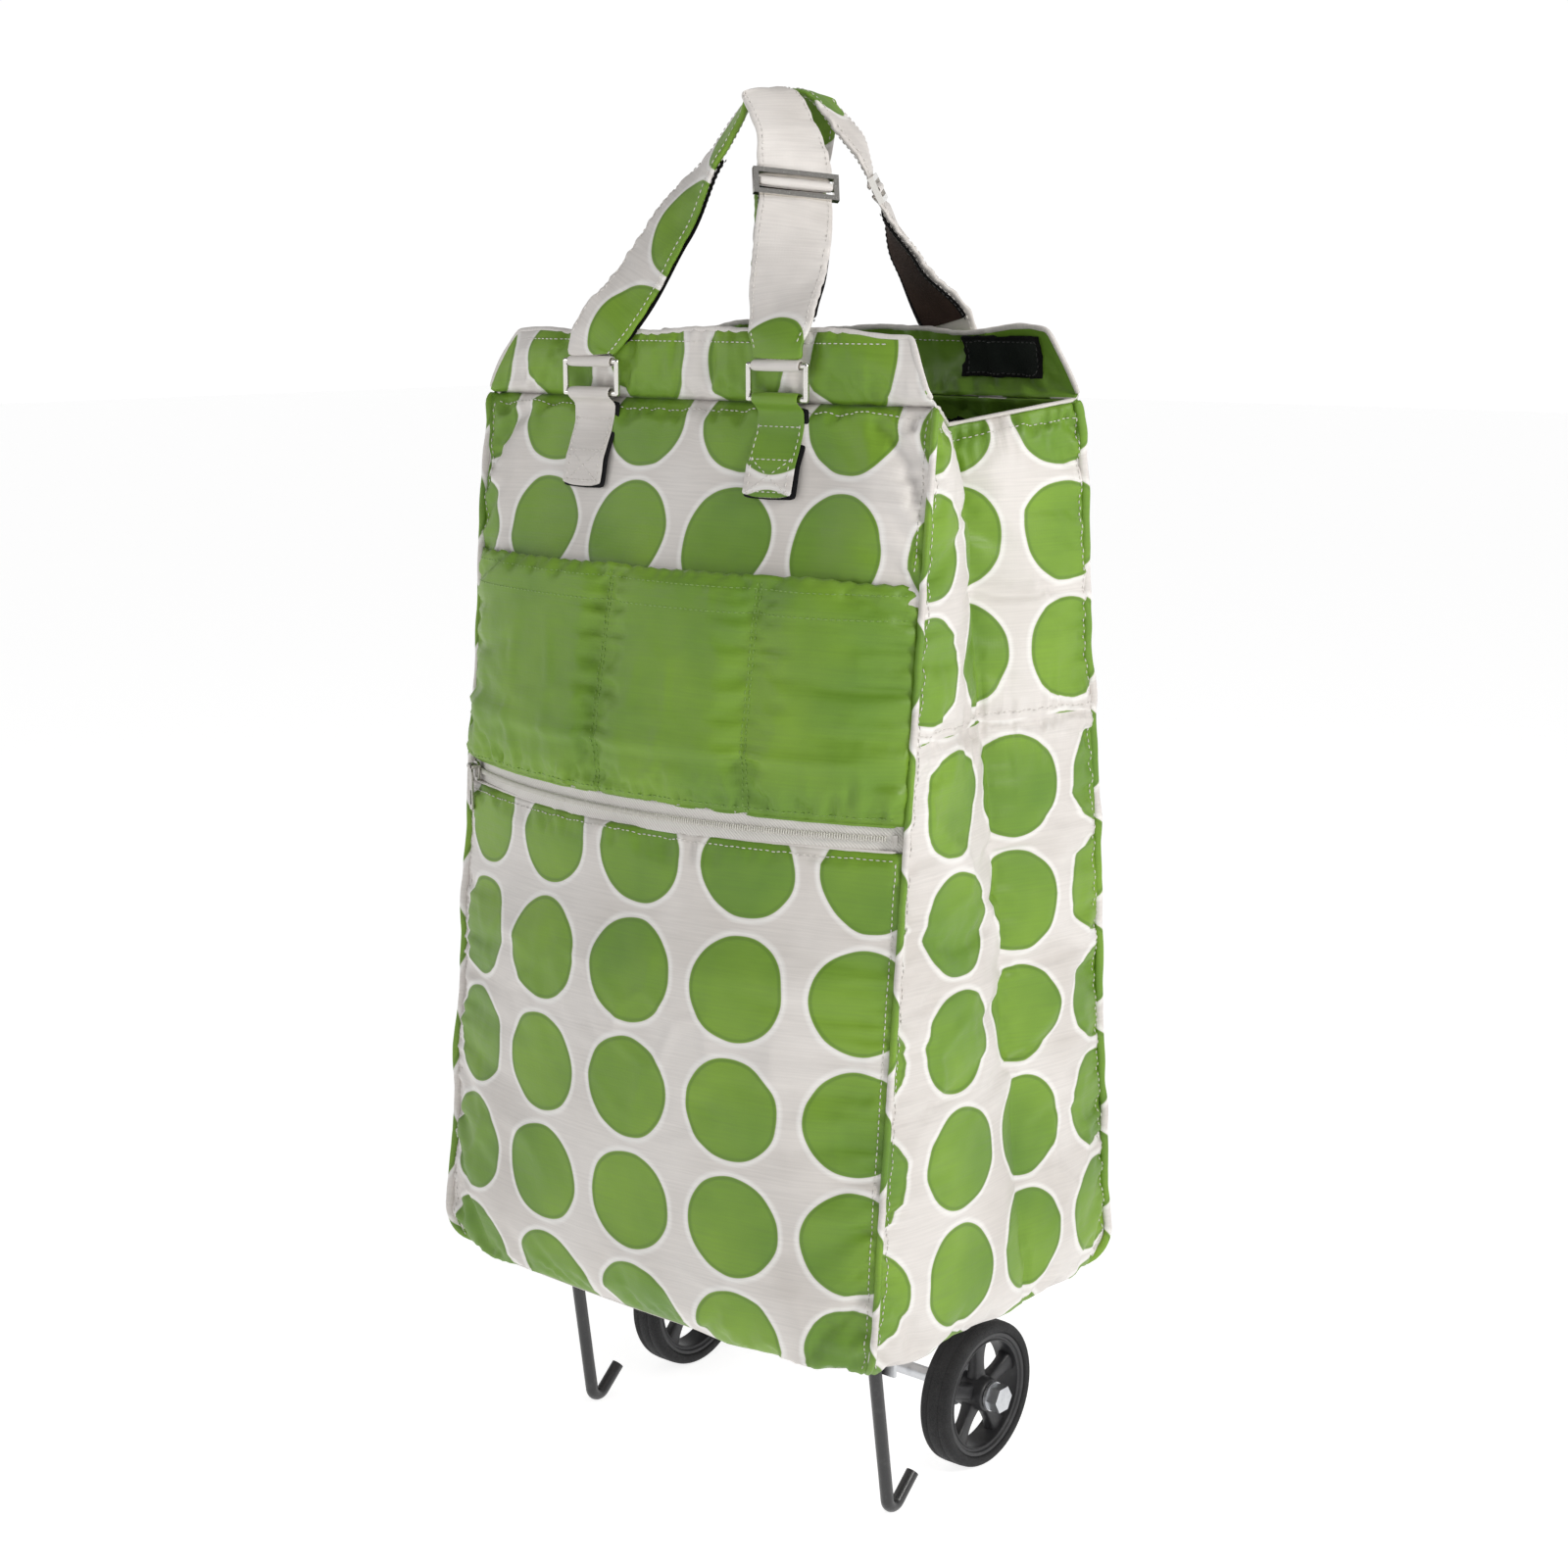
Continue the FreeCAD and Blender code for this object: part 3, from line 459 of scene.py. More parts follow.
def refined(grid):
    # twice as many cells each way, on a smooth curve through the points
    for axis in (0, 1):
        rows = np.moveaxis(grid, axis, 0)
        ends = np.concatenate([2 * rows[:1] - rows[1:2], rows, 2 * rows[-1:] - rows[-2:-1]])
        between = (9 * (rows[:-1] + rows[1:]) - (ends[:-3] + ends[3:])) / 16
        finer = np.empty((2 * len(rows) - 1,) + rows.shape[1:])
        finer[::2], finer[1::2] = rows, between
        grid = np.moveaxis(finer, 0, axis)
    return grid


def crinkled(points, gathers, amount, seed, calm=0):
    # small gathers beside the seams and sharp little folds; gathers are (row or None, column or None)
    normals = gridNormals(points)
    rows, columns = points.shape[:2]
    step = bag["step"] / 2
    lift = np.zeros((rows, columns))
    for j in range(rows):
        for i in range(columns):
            p = points[j, i]
            rim = min(j, i, rows - 1 - j, columns - 1 - i) * step
            near, far = noise.voronoi(Vector(p) * crinkle["cells"])[0][:2]
            fold = math.exp(-((far - near) / crinkle["foldWidth"]) ** 2)
            where = smoothStep(-0.15, 0.35, noiseAt(p[0] * 11.0 + seed, p[1] * 11.0, p[2] * 11.0))
            soft = noiseAt(p[0] * 60.0, p[1] * 60.0 + seed, p[2] * 60.0)
            value = crinkle["fold"] * amount * (where * fold + 0.35 * soft)
            for row, column in gathers:
                away = (abs(j - 2 * row) if row is not None else abs(i - 2 * column)) * step
                if away < 4.0 * crinkle["reach"]:
                    run = (p[0] + p[1]) if row is not None else p[2]
                    phase = run / crinkle["pitch"] + 1.5 * noiseAt(run * 55.0 + seed, seed, away * 30.0)
                    fade = math.exp(-away / crinkle["reach"]) * min(away / 0.003, 1.0)
                    value += crinkle["gather"] * amount * fade * math.sin(2.0 * math.pi * phase)
            lift[j, i] = value * min(rim / 0.006, 1.0) * (0.15 if j < 2 * calm else 1.0)
    return points + normals * lift[:, :, None]


clearances = {
    "handleLow": 0.470, "handleX": 0.088, "handleRoom": 0.0003,
    "fade": 0.045,
    "pullRoom": 0.0018, "pullReach": 0.027,
}


def heldBack(points, zone):
    # keeps the cloth clear of the folded handles, and of the zip's pull below the zip
    result = points.copy()
    for p in result.reshape(-1, 3):
        half = bag["seamHalf"] - 0.002
        sign = -1.0 if p[1] < 0 else 1.0
        fade = clearances["fade"]
        near = smoothStep(clearances["handleLow"], clearances["handleLow"] + fade, p[2])
        near *= 1.0 - smoothStep(clearances["handleX"], clearances["handleX"] + fade, abs(p[0]))
        limit = halfDepth(p[2]) + swell(p[2]) * (1.0 - (p[0] / half) ** 2) + clearances["handleRoom"]
        if zone == "lower_front":
            low = zipLow - clearances["pullReach"]
            near = smoothStep(low - fade, low, p[2])
            limit = clearances["pullRoom"] - arcPoint(p[0], 0.0, p[2])[1]
        depth = abs(p[1])
        p[1] = sign * (depth - max(0.0, depth - limit) * near)
    return result


def clothPiece(name, points, flat, wall=0.0011, lining="lining", outer="dots", flatAbove=None, seamRow=None,
               gathers=None, amount=1.0, seed=0.0, calm=0):
    # an open sheet of cloth from a grid of points, with a lining on its inner face
    if gathers is not None:
        points = crinkled(refined(points), gathers, amount, seed, calm)
        if name in ("upper_front_cloth", "back_cloth", "lower_front_cloth"):
            points = heldBack(points, name.replace("_cloth", ""))
        flat = refined(flat)
        flatAbove = None if flatAbove is None else refined(flatAbove)
        seamRow = None if seamRow is None else 2 * seamRow
        shown[name.replace("_cloth", "")] = points
    rows, columns = points.shape[:2]
    faces = gridFaces(rows, columns)
    above = flat if flatAbove is None else flatAbove
    uvs = []
    for face in faces:
        layout = above if seamRow is not None and face[0] // columns >= seamRow else flat
        uvs += [layout[v // columns, v % columns] for v in face]
    obj = addPiece(name, points.reshape(-1, 3), faces, uvs, [outer, lining])
    if gathers is None:
        addSubdivision(obj)
    addWall(obj, wall)
    return obj


def tubePiece(name, parts, materialNames):
    # tubes of closed rings; each part is its rings and the flat cloth's coordinates around and along it
    verts, faces, uvs = [], [], []
    for rings, around, along in parts:
        start = len(verts)
        count, sides = rings.shape[:2]
        verts += [tuple(v) for v in rings.reshape(-1, 3)]
        faces += [tuple(start + v for v in face) for face in ringFaces(count, sides)]
        for j in range(count - 1):
            for i in range(sides):
                uvs += [(around[i], along[j]), (around[i + 1], along[j]),
                        (around[i + 1], along[j + 1]), (around[i], along[j + 1])]
        for j, order in ((0, -1), (count - 1, 1)):
            ring = [start + j * sides + i for i in range(sides)][::order]
            faces.append(tuple(ring))
            uvs += [(around[(v - start) % sides], along[j]) for v in ring]
    obj = addPiece(name, verts, faces, uvs, materialNames, recalculate=True)
    addSubdivision(obj)
    return obj


def noiseAt(x, y=0.0, z=0.0):
    return noise.noise(Vector((x, y, z)))


def smoothStep(low, high, value):
    share = min(max((value - low) / (high - low), 0.0), 1.0)
    return share * share * (3.0 - 2.0 * share)


def finish(obj, body, slot, *replaced):
    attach(obj, body)
    if replaced:
        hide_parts(*replaced)
    return obj


# the zip's arc
zipper = {
    "centre": 0.2138129, "radius": 0.3285340, "turn": -24.8376, "ends": 26.6, "coilEnds": 25.0,
    "tapeBack": 0.0019, "tapeWall": 0.0010, "edgeRadius": 0.0011,
    "shield": [(-0.0040, 0.0), (-0.0038, 0.0036), (-0.0022, 0.0053), (0.0022, 0.0053), (0.0038, 0.0036),
               (0.0040, 0.0), (0.0034, -0.0040), (0.0020, -0.0054), (-0.0020, -0.0054), (-0.0034, -0.0040)],
    "pull": {"length": 0.024, "width": 0.005, "wall": 0.0012},
}


def arcPoint(x, back, z):
    # a place behind the coil's face, which is an arc seen from above
    angle = x / zipper["radius"]
    reach = zipper["radius"] - back
    return np.array([math.sin(angle) * reach, zipper["centre"] - math.cos(angle) * reach, z])


# the bag's cloth shell
bag = {
    "step": 0.0041,              # size of a cloth cell
    "seamHalf": 0.148,           # middle plane to the corner seams
    "mouthHalfDepth": 0.060, "swellShare": 0.84, "bodySwell": 0.026, "baseSwell": 0.010, "mouthSwell": 0.008,
    "foldAtMouth": 0.038, "foldAtBase": 0.003, "creaseShift": 0.10, "sideDip": 0.012,
    "collarLean": 0.004, "collarSlant": 0.018,
    "grooveDepth": 0.0038, "sideSeamZ": 0.415,
    "baseRound": 0.007, "cornerRound": 0.015, "cornerReach": 0.04,
    "reach": 0.0125,             # how far the cloth may move from its cut
}
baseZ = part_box("base_fabric")[0].z
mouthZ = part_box("front_panel_upper")[1].z
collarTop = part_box("front_collar")[1].z
zipLow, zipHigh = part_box("zipper_tape")[0].z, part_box("zipper_tape")[1].z
zipZ = (zipLow + zipHigh) / 2
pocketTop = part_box("front_pocket")[1].z
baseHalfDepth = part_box("base_fabric")[1].y - bag["baseSwell"]


def halfDepth(z):
    if z > mouthZ:
        return bag["mouthHalfDepth"] - bag["collarLean"] * (z - mouthZ) / (collarTop - mouthZ)
    share = (z - baseZ) / (mouthZ - baseZ)
    return baseHalfDepth + (bag["mouthHalfDepth"] - baseHalfDepth) * share


def swell(z):
    share = min((z - baseZ) / (mouthZ - baseZ), 1.0)
    even = bag["baseSwell"] + (bag["mouthSwell"] - bag["baseSwell"]) * share
    return even + bag["bodySwell"] * math.sin(math.pi * share)


def spread(low, high, step=bag["step"]):
    count = max(1, round((high - low) / step))
    return [low + (high - low) * i / count for i in range(count)]


def rowHeights():
    levels = spread(baseZ, zipLow) + spread(zipLow, zipHigh) + spread(zipHigh, pocketTop)
    return levels + spread(pocketTop, mouthZ) + [mouthZ]


levels = rowHeights()
collarLevels = spread(mouthZ, collarTop)[1:] + [collarTop]
frontCells = round(2 * bag["seamHalf"] / bag["step"])
sideCells = 50


def baseTuck(z, cornerness):
    # how far the cloth is tucked in just above the base, more at the corners
    radius = bag["baseRound"] + bag["cornerRound"] * cornerness
    height = z - baseZ
    if height >= radius:
        return 0.0
    return radius - math.sqrt(radius ** 2 - (radius - height) ** 2)


def grooveAt(z):
    away = abs(z - mouthZ)
    return bag["grooveDepth"] * max(0.0, 1.0 - away / 0.004)


def faceDepth(x, z, half):
    return halfDepth(z) + swell(z) * bag["swellShare"] * (1.0 - (x / half) ** 2)


def frontPoint(share, z, side):
    half = bag["seamHalf"]
    if z > mouthZ:
        half -= bag["collarSlant"] * (z - mouthZ) / (collarTop - mouthZ)
    x = -half + 2.0 * half * share
    cornerness = smoothStep(half - bag["cornerReach"], half, abs(x))
    tuck = baseTuck(z, cornerness)
    depth = faceDepth(x, z, half) - tuck * (1.0 - 0.25 * cornerness) - grooveAt(z)
    nearZip = math.exp(-((z - zipZ) / 0.012) ** 2) if side < 0 else 0.0
    full = halfDepth(z) + swell(z) * (1.0 - (x / half) ** 2)
    depth += (full - depth) * nearZip
    x *= 1.0 - tuck * 0.75 * cornerness / half
    return [x * -side, side * depth, z]


def sidePoint(share, z, side):
    depth = halfDepth(z)
    height = (z - baseZ) / (mouthZ - baseZ)
    crease = 0.5 + bag["creaseShift"] * (1.0 - height) * (1.0 if side > 0 else -1.0)
    valley = share / crease if share < crease else (1.0 - share) / (1.0 - crease)
    fold = bag["foldAtBase"] + (bag["foldAtMouth"] - bag["foldAtBase"]) * height ** 2
    deep = fold * (valley ** (1.0 + 1.2 * (1.0 - height)))
    cornerness = smoothStep(depth - bag["cornerReach"], depth, abs(2.0 * share - 1.0) * depth)
    tuck = baseTuck(z, cornerness)
    x = bag["seamHalf"] - deep - tuck * (1.0 - 0.25 * cornerness)
    y = (-depth + 2.0 * depth * share) * (1.0 - tuck * 0.75 * cornerness / depth)
    dip = bag["sideDip"] * valley * smoothStep(mouthZ - 0.05, mouthZ, z)
    return [x * side, y * side, z - dip]


def shellPoints():
    rows = []
    for z in levels:
        row = [frontPoint(i / frontCells, z, -1) for i in range(frontCells)]
        row += [sidePoint(i / sideCells, z, 1) for i in range(sideCells)]
        row += [frontPoint(i / frontCells, z, 1) for i in range(frontCells)]
        row += [sidePoint(i / sideCells, z, -1) for i in range(sideCells)]
        rows.append(row)
    return np.array(rows)


def collarPoints(side):
    return np.array([[frontPoint(i / frontCells, z, side) for i in range(frontCells + 1)]
                     for z in collarLevels])


def relaxCloth(points, faces, pins, cloth):
    # lets a slightly roomy cloth settle between its seams under a little pressure
    scale = 10.0
    mesh = bpy.data.meshes.new("settling")
    mesh.from_pydata([tuple(p) for p in points * scale], [], faces)
    obj = placed("settling", mesh)
    group = obj.vertex_groups.new(name="sewn")
    for weight in sorted(set(pins.values())):
        group.add([v for v, w in pins.items() if w == weight], weight, "REPLACE")
    modifier = obj.modifiers.new("cloth", "CLOTH")
    settings = modifier.settings
    settings.quality = 5
    settings.mass = 0.3
    settings.tension_stiffness = settings.compression_stiffness = 25.0
    settings.shear_stiffness = 8.0
    settings.bending_stiffness = cloth["bending"]
    settings.tension_damping = settings.compression_damping = settings.shear_damping = 5.0
    settings.bending_damping = 0.5
    settings.air_damping = 2.0
    settings.vertex_group_mass = "sewn"
    settings.pin_stiffness = 5.0
    settings.shrink_min = -cloth["room"]
    settings.use_pressure = True
    settings.uniform_pressure_force = cloth["pressure"]
    settings.effector_weights.gravity = 0.0
    modifier.collision_settings.use_collision = False
    modifier.collision_settings.use_self_collision = False
    modifier.point_cache.frame_end = cloth["steps"]
    for step in range(1, cloth["steps"] + 1):
        scene.frame_set(step)
    settled = obj.evaluated_get(bpy.context.evaluated_depsgraph_get()).data
    result = np.zeros(len(points) * 3)
    settled.vertices.foreach_get("co", result)
    bpy.data.objects.remove(obj)
    scene.frame_set(1)
    return result.reshape(-1, 3) / scale


shellCloth = {"bending": 0.9, "room": 0.036, "pressure": 0.75, "steps": 26}


def settleShell(body, front, back):
    rowCount, columnCount = body.shape[:2]
    index = np.arange(rowCount * columnCount).reshape(rowCount, columnCount)
    closed = np.concatenate([index, index[:, :1]], axis=1)
    width = frontCells + 1
    offset = rowCount * columnCount
    frontIndex = offset + np.arange(len(front) * width).reshape(len(front), width)
    backIndex = frontIndex + len(front) * width
    backStart = frontCells + sideCells
    frontIndex = np.concatenate([closed[-1:, :width], frontIndex])
    backIndex = np.concatenate([closed[-1:, backStart:backStart + width], backIndex])
    faces = []
    for grid in (closed, frontIndex, backIndex):
        for j in range(grid.shape[0] - 1):
            faces += [(int(grid[j, i]), int(grid[j, i + 1]), int(grid[j + 1, i + 1]), int(grid[j + 1, i]))
                      for i in range(grid.shape[1] - 1)]
    pins = {}
    corners = (0, frontCells, frontCells + sideCells, 2 * frontCells + sideCells)
    for j, z in enumerate(levels):
        height = (z - baseZ) / (mouthZ - baseZ)
        for i in range(columnCount):
            weight = 0.0
            onFront = i < frontCells
            onSide = frontCells < i < backStart or i > backStart + frontCells
            if i in corners or j in (0, rowCount - 1):
                weight = 1.0
            elif onFront and zipLow - 1e-6 <= z <= zipHigh + 1e-6:
                weight = 1.0
            elif onSide and abs(z - bag["sideSeamZ"]) < 0.0021:
                weight = 0.35
            elif onSide:
                local = (i - frontCells if i < backStart else i - backStart - frontCells) / sideCells
                crease = 0.5 + bag["creaseShift"] * (1.0 - height) * (1.0 if i < backStart else -1.0)
                if abs(local - crease) < 0.6 / sideCells and height > 0.12:
                    weight = round(0.25 + 0.6 * height, 2)
            if weight:
                pins[int(index[j, i])] = weight
    for grid in (frontIndex, backIndex):
        for i in range(width):
            pins[int(grid[-1, i])] = 0.3
    start = np.concatenate([body.reshape(-1, 3), front.reshape(-1, 3), back.reshape(-1, 3)])
    settled = relaxCloth(start, faces, pins, shellCloth)
    moved = settled - start
    length = np.linalg.norm(moved, axis=1, keepdims=True)
    reach = np.full((len(start), 1), bag["reach"])
    nearZip = (np.abs(start[:, 2] - zipZ) < 0.04) & (start[:, 1] < 0)
    reach[nearZip, 0] = 0.003 + 0.24 * np.maximum(np.abs(start[nearZip, 2] - zipZ) - 0.0065, 0.0)
    capped = reach * np.tanh(length / np.maximum(reach, 1e-6))
    settled = start + moved * capped / np.maximum(length, 1e-9)
    settled[:, 2] = np.maximum(settled[:, 2], baseZ)
    body = settled[:offset].reshape(body.shape)
    front = np.concatenate([body[-1:, :width], settled[frontIndex[1:].ravel()].reshape(-1, width, 3)])
    back = np.concatenate([body[-1:, backStart:backStart + width],
                           settled[backIndex[1:].ravel()].reshape(-1, width, 3)])
    return body, front, back


def gridNormals(points):
    along = np.gradient(points, axis=1)
    up = np.gradient(points, axis=0)
    normals = np.cross(along, up)
    return normals / np.maximum(np.linalg.norm(normals, axis=2, keepdims=True), 1e-9)


crumples = {"puckerPitch": 0.0175, "puckerHeight": 0.0013, "puckerReach": 0.015, "creaseHeight": 0.0026}


def ridge(point, scale, seed):
    value = noiseAt(point[0] * scale + seed, point[1] * scale - seed, point[2] * scale + 2.0 * seed)
    return 1.0 - min(abs(value) * 3.2, 1.0)


def crumpled(points, seams, seed, amount=1.0):
    # gathers beside the seams and a few creases between them; seams are (row or None, column or None)
    normals = gridNormals(points)
    rows, columns = points.shape[:2]
    result = points.copy()
    for j in range(rows):
        for i in range(columns):
            p = points[j, i]
            lift = 0.0
            for row, column in seams:
                steps = abs(j - row) if row is not None else abs(i - column)
                away = steps * bag["step"]
                if away > 3.5 * crumples["puckerReach"]:
                    continue
                run = (p[0] + p[1]) if row is not None else p[2]
                phase = run / crumples["puckerPitch"] + 1.6 * noiseAt(run * 42.0 + seed, seed)
                fade = math.exp(-away / crumples["puckerReach"]) * min(steps / 1.5, 1.0)
                lift += crumples["puckerHeight"] * fade * math.sin(2.0 * math.pi * phase)
            crease = ridge(p, 13.0, seed) * ridge(p, 5.0, seed + 4.0)
            lift += crumples["creaseHeight"] * (crease - 0.3) * amount
            result[j, i] += normals[j, i] * lift * (0.0 if any(j == r for r, c in seams) else 1.0)
    return result


def arcLayout(start, heights, columnZero, rowZero):
    # the flat cloth's coordinates, measured along the cut and zeroed on a dot's centre
    lengths = np.linalg.norm(np.diff(start, axis=1), axis=2)
    across = np.concatenate([np.zeros((start.shape[0], 1)), np.cumsum(lengths, axis=1)], axis=1)
    across -= across[:, -1:] / 2
    up = np.repeat(np.array(heights)[:, None], start.shape[1], axis=1)
    return np.stack([across - columnZero, up - rowZero], axis=2)


dotPlaces = {
    "frontLower": (0.009, 0.2915), "frontUpper": (0.040, 0.5030), "frontCollar": (0.038, 0.5925),
    "sideLower": (-0.0425, 0.3815), "sideUpper": (-0.0045, 0.4490),
    "back": (0.0, 0.2915), "backCollar": (0.012, 0.5925),
    "leftLower": (0.0, 0.3815), "leftUpper": (0.02, 0.449),
}
bodyStart = shellPoints()
collarStart = {side: collarPoints(side) for side in (-1, 1)}
bodyCloth, frontCollarCloth, backCollarCloth = settleShell(bodyStart, collarStart[-1], collarStart[1])
print("cloth settled:", len(bodyStart.reshape(-1, 3)), "points")


def columnsOf(grid, first, count):
    wrapped = np.concatenate([grid, grid[:, :1]], axis=1)
    return wrapped[:, first:first + count + 1]


def rowAt(z):
    return min(range(len(levels)), key=lambda j: abs(levels[j] - z))


zipLowRow, zipHighRow, pocketRow = rowAt(zipLow), rowAt(zipHigh), rowAt(pocketTop)
sideSeamRow = rowAt(bag["sideSeamZ"])


def makeShellPieces():
    starts = {"front": 0, "right": frontCells, "back": frontCells + sideCells,
              "left": 2 * frontCells + sideCells}
    counts = {"front": frontCells, "right": sideCells, "back": frontCells, "left": sideCells}
    cloth = {k: columnsOf(bodyCloth, starts[k], counts[k]) for k in starts}
    cut = {k: columnsOf(bodyStart, starts[k], counts[k]) for k in starts}
    top = len(levels) - 1
    made = {}
    for name, side, rows, seam, place, replaced, seed in (
            ("lower_front", "front", slice(0, zipLowRow + 1), zipLowRow, "frontLower",
             "front_panel_lower", 3.1),
            ("upper_front", "front", slice(zipHighRow, top + 1), top - zipHighRow, "frontUpper",
             "front_panel_upper", 7.7),
            ("back", "back", slice(0, top + 1), top, "back", "back_panel", 11.3)):
        points = crumpled(cloth[side][rows], [(seam, None), (None, 0), (None, frontCells)], seed)
        made[name] = points
        flat = arcLayout(cut[side][rows], levels[rows], *dotPlaces[place])
        gathers = [(row, None) for row in ((0, seam) if side == "front" else (seam,))]
        gathers += [(None, 0), (None, frontCells)]
        calm = pocketRow - zipHighRow - 1 if name == "upper_front" else 0
        obj = clothPiece(name + "_cloth", points, flat, gathers=gathers, seed=len(name), calm=calm)
        finish(obj, "bag", "dot_fabric", replaced)
    for side, place, seed in (("right", "side", 17.0), ("left", "left", 23.0)):
        seams = [(top, None), (sideSeamRow, None), (None, 0), (None, sideCells)]
        cloth[side] = crumpled(cloth[side], seams, seed, 1.3)
        low = arcLayout(cut[side], levels, *dotPlaces[place + "Lower"])
        high = arcLayout(cut[side], levels, *dotPlaces[place + "Upper"])
        obj = clothPiece(side + "_side_cloth", cloth[side], low, flatAbove=high, seamRow=sideSeamRow,
                         gathers=seams, amount=1.5, seed=4.4)
        finish(obj, "bag", "dot_fabric", side + "_side_panel")
    zipRows = cloth["front"][zipLowRow + 1:zipHighRow]
    cloth["front"] = np.concatenate([made["lower_front"], zipRows, made["upper_front"]])
    cloth["back"] = made["back"]
    return cloth


cloth = makeShellPieces()


# base cloth, bound corner seams and the folded hems of the sides
baseCloth = {"rings": 10, "wall": 0.0014}
binding = {"radius": 0.0024, "flatness": 0.75, "sides": 12, "wave": 0.0007}
hem = {"radius": 0.0019, "flatness": 0.6, "fold": 0.011}


def makeBase():
    ring = np.concatenate([cloth[side][0][:-1] for side in ("front", "right", "back", "left")])
    middle = np.array([0.0, 0.0, baseZ])
    rings = [middle + (ring - middle) * (1.0 - k / baseCloth["rings"]) for k in range(baseCloth["rings"])]
    verts = np.concatenate(rings + [middle[None, :]])
    verts[:, 2] = baseZ + 0.0002
    count = len(ring)
    last = (baseCloth["rings"] - 1) * count
    faces = [(b, a, d, c) for a, b, c, d in ringFaces(baseCloth["rings"], count)]
    faces += [(last + (i + 1) % count, last + i, len(verts) - 1) for i in range(count)]
    uvs = [(verts[v][0], verts[v][1]) for face in faces for v in face]
    obj = addPiece("base_cloth", verts, faces, uvs, ["white", "lining"])
    addWall(obj, baseCloth["wall"])
    finish(obj, "bag", "dot_fabric", "base_fabric")


def sweepRings(path, sides, radiusAt, flatness, facing=None):
    # rings of points round a path, flattened along the way it faces
    path = [Vector(p) for p in path]
    rings = []
    for k, point in enumerate(path):
        along = (path[min(k + 1, len(path) - 1)] - path[max(k - 1, 0)]).normalized()
        out = Vector(facing[k] if facing is not None else (0, 0, 1))
        across = along.cross(out).normalized()
        out = across.cross(along)
        radius = radiusAt(k)
        rings.append([tuple(point + across * math.cos(a) * radius + out * math.sin(a) * radius * flatness)
                      for a in (2.0 * math.pi * i / sides for i in range(sides))])
    return np.array(rings)


def sweepPart(path, sides, radiusAt, flatness, facing=None, zero=(0.0, 0.0)):
    rings = sweepRings(path, sides, radiusAt, flatness, facing)
    steps = np.linalg.norm(np.diff(np.array([tuple(p) for p in path]), axis=0), axis=1)
    along = np.concatenate([[0.0], np.cumsum(steps)]) - zero[1]
    around = np.linspace(0.0, 2.0 * math.pi * radiusAt(len(path) // 2), sides + 1) - zero[0]
    return rings, around, along


def makeBindings():
    parts = []
    corners = (("front", 0, (-1, -1)), ("front", -1, (1, -1)), ("back", 0, (1, 1)), ("back", -1, (-1, 1)))
    for number, (side, column, out) in enumerate(corners):
        path = cloth[side][:, column].copy()
        for j in range(len(path)):
            wave = binding["wave"] * noiseAt(path[j][2] * 55.0, number * 9.0)
            path[j][:2] += np.array(out) * (0.0006 + wave)
        facing = [(out[1] * -1.0, out[0], 0.0)] * len(path)

        def radiusAt(k, number=number):
            ripple = 0.16 * noiseAt(levels[k] * 130.0, number * 5.0) + 0.1 * noiseAt(levels[k] * 45.0, number)
            return binding["radius"] * (1.0 + ripple)
        parts.append(sweepPart(path, binding["sides"], radiusAt, binding["flatness"], facing,
                               (0.026, 0.2915 - baseZ)))
    finish(tubePiece("corner_piping", parts, ["dots"]), "bag", "dot_fabric", "corner_bindings")


def makeSideHems():
    # the white edge of each side, turned over and stitched down inside the mouth
    parts = []
    flaps = []
    for side in ("right", "left"):
        top = cloth[side][-1].copy()
        out = 1.0 if side == "right" else -1.0
        path = top[1:-1].copy()
        path[:, 2] += 0.0006

        def radiusAt(k):
            return hem["radius"] * (1.0 + 0.35 * noiseAt(k * 0.35, out) + 0.2 * noiseAt(k * 0.9, out * 3.0))
        parts.append(sweepPart(path, 10, radiusAt, hem["flatness"], [(0, 0, 1)] * len(path), (0.03, 0.03)))
        rows = []
        for k in range(4):
            row = top.copy()
            row[:, 0] -= out * (0.0016 + 0.0009 * k)
            row[:, 2] -= hem["fold"] * k / 3.0
            for i in range(len(row)):
                row[i, 0] -= out * 0.0012 * k / 3.0 * noiseAt(i * 0.4, out * 7.0)
            rows.append(row)
        flaps.append((side, np.array(rows)))
    finish(tubePiece("side_hems", parts, ["white"]), "bag", "dot_fabric")
    for side, points in flaps:
        flat = arcLayout(points, [hem["fold"] * k / 3.0 for k in range(4)], 0.0, 0.0)
        obj = clothPiece(side + "_side_facing", points, flat, wall=0.0008, lining="white", outer="white")
        finish(obj, "bag", "dot_fabric")


makeBase()
makeBindings()
makeSideHems()
print("base, bindings and hems made")


# collars above the mouth seam, with a white hem and hook-and-loop patches inside
collar = {"wave": 0.0042, "wavePitch": 0.042, "gather": 0.0011, "gatherPitch": 0.0125, "hemRadius": 0.0016}
patch = {"length": 0.050, "height": 0.022, "offset": 0.099, "wall": 0.0012, "gap": 0.0016}


def collarShape(points, seed):
    result = points.copy()
    normals = gridNormals(points)
    rows = len(points)
    for j in range(rows):
        share = j / (rows - 1.0)
        for i in range(points.shape[1]):
            x = points[j, i, 0]
            wave = noiseAt(x / collar["wavePitch"] + seed, 0.4 * share, seed)
            gather = math.sin(2.0 * math.pi * (x / collar["gatherPitch"] + 1.4 * noiseAt(x * 40.0, seed)))
            lift = collar["wave"] * wave * share
            lift += collar["gather"] * gather * math.exp(-3.0 * share) * min(j, 1)
            result[j, i] += normals[j, i] * lift
            result[j, i, 2] += 0.0042 * share * noiseAt(x * 21.0 + seed, seed + 2.0)
    return result


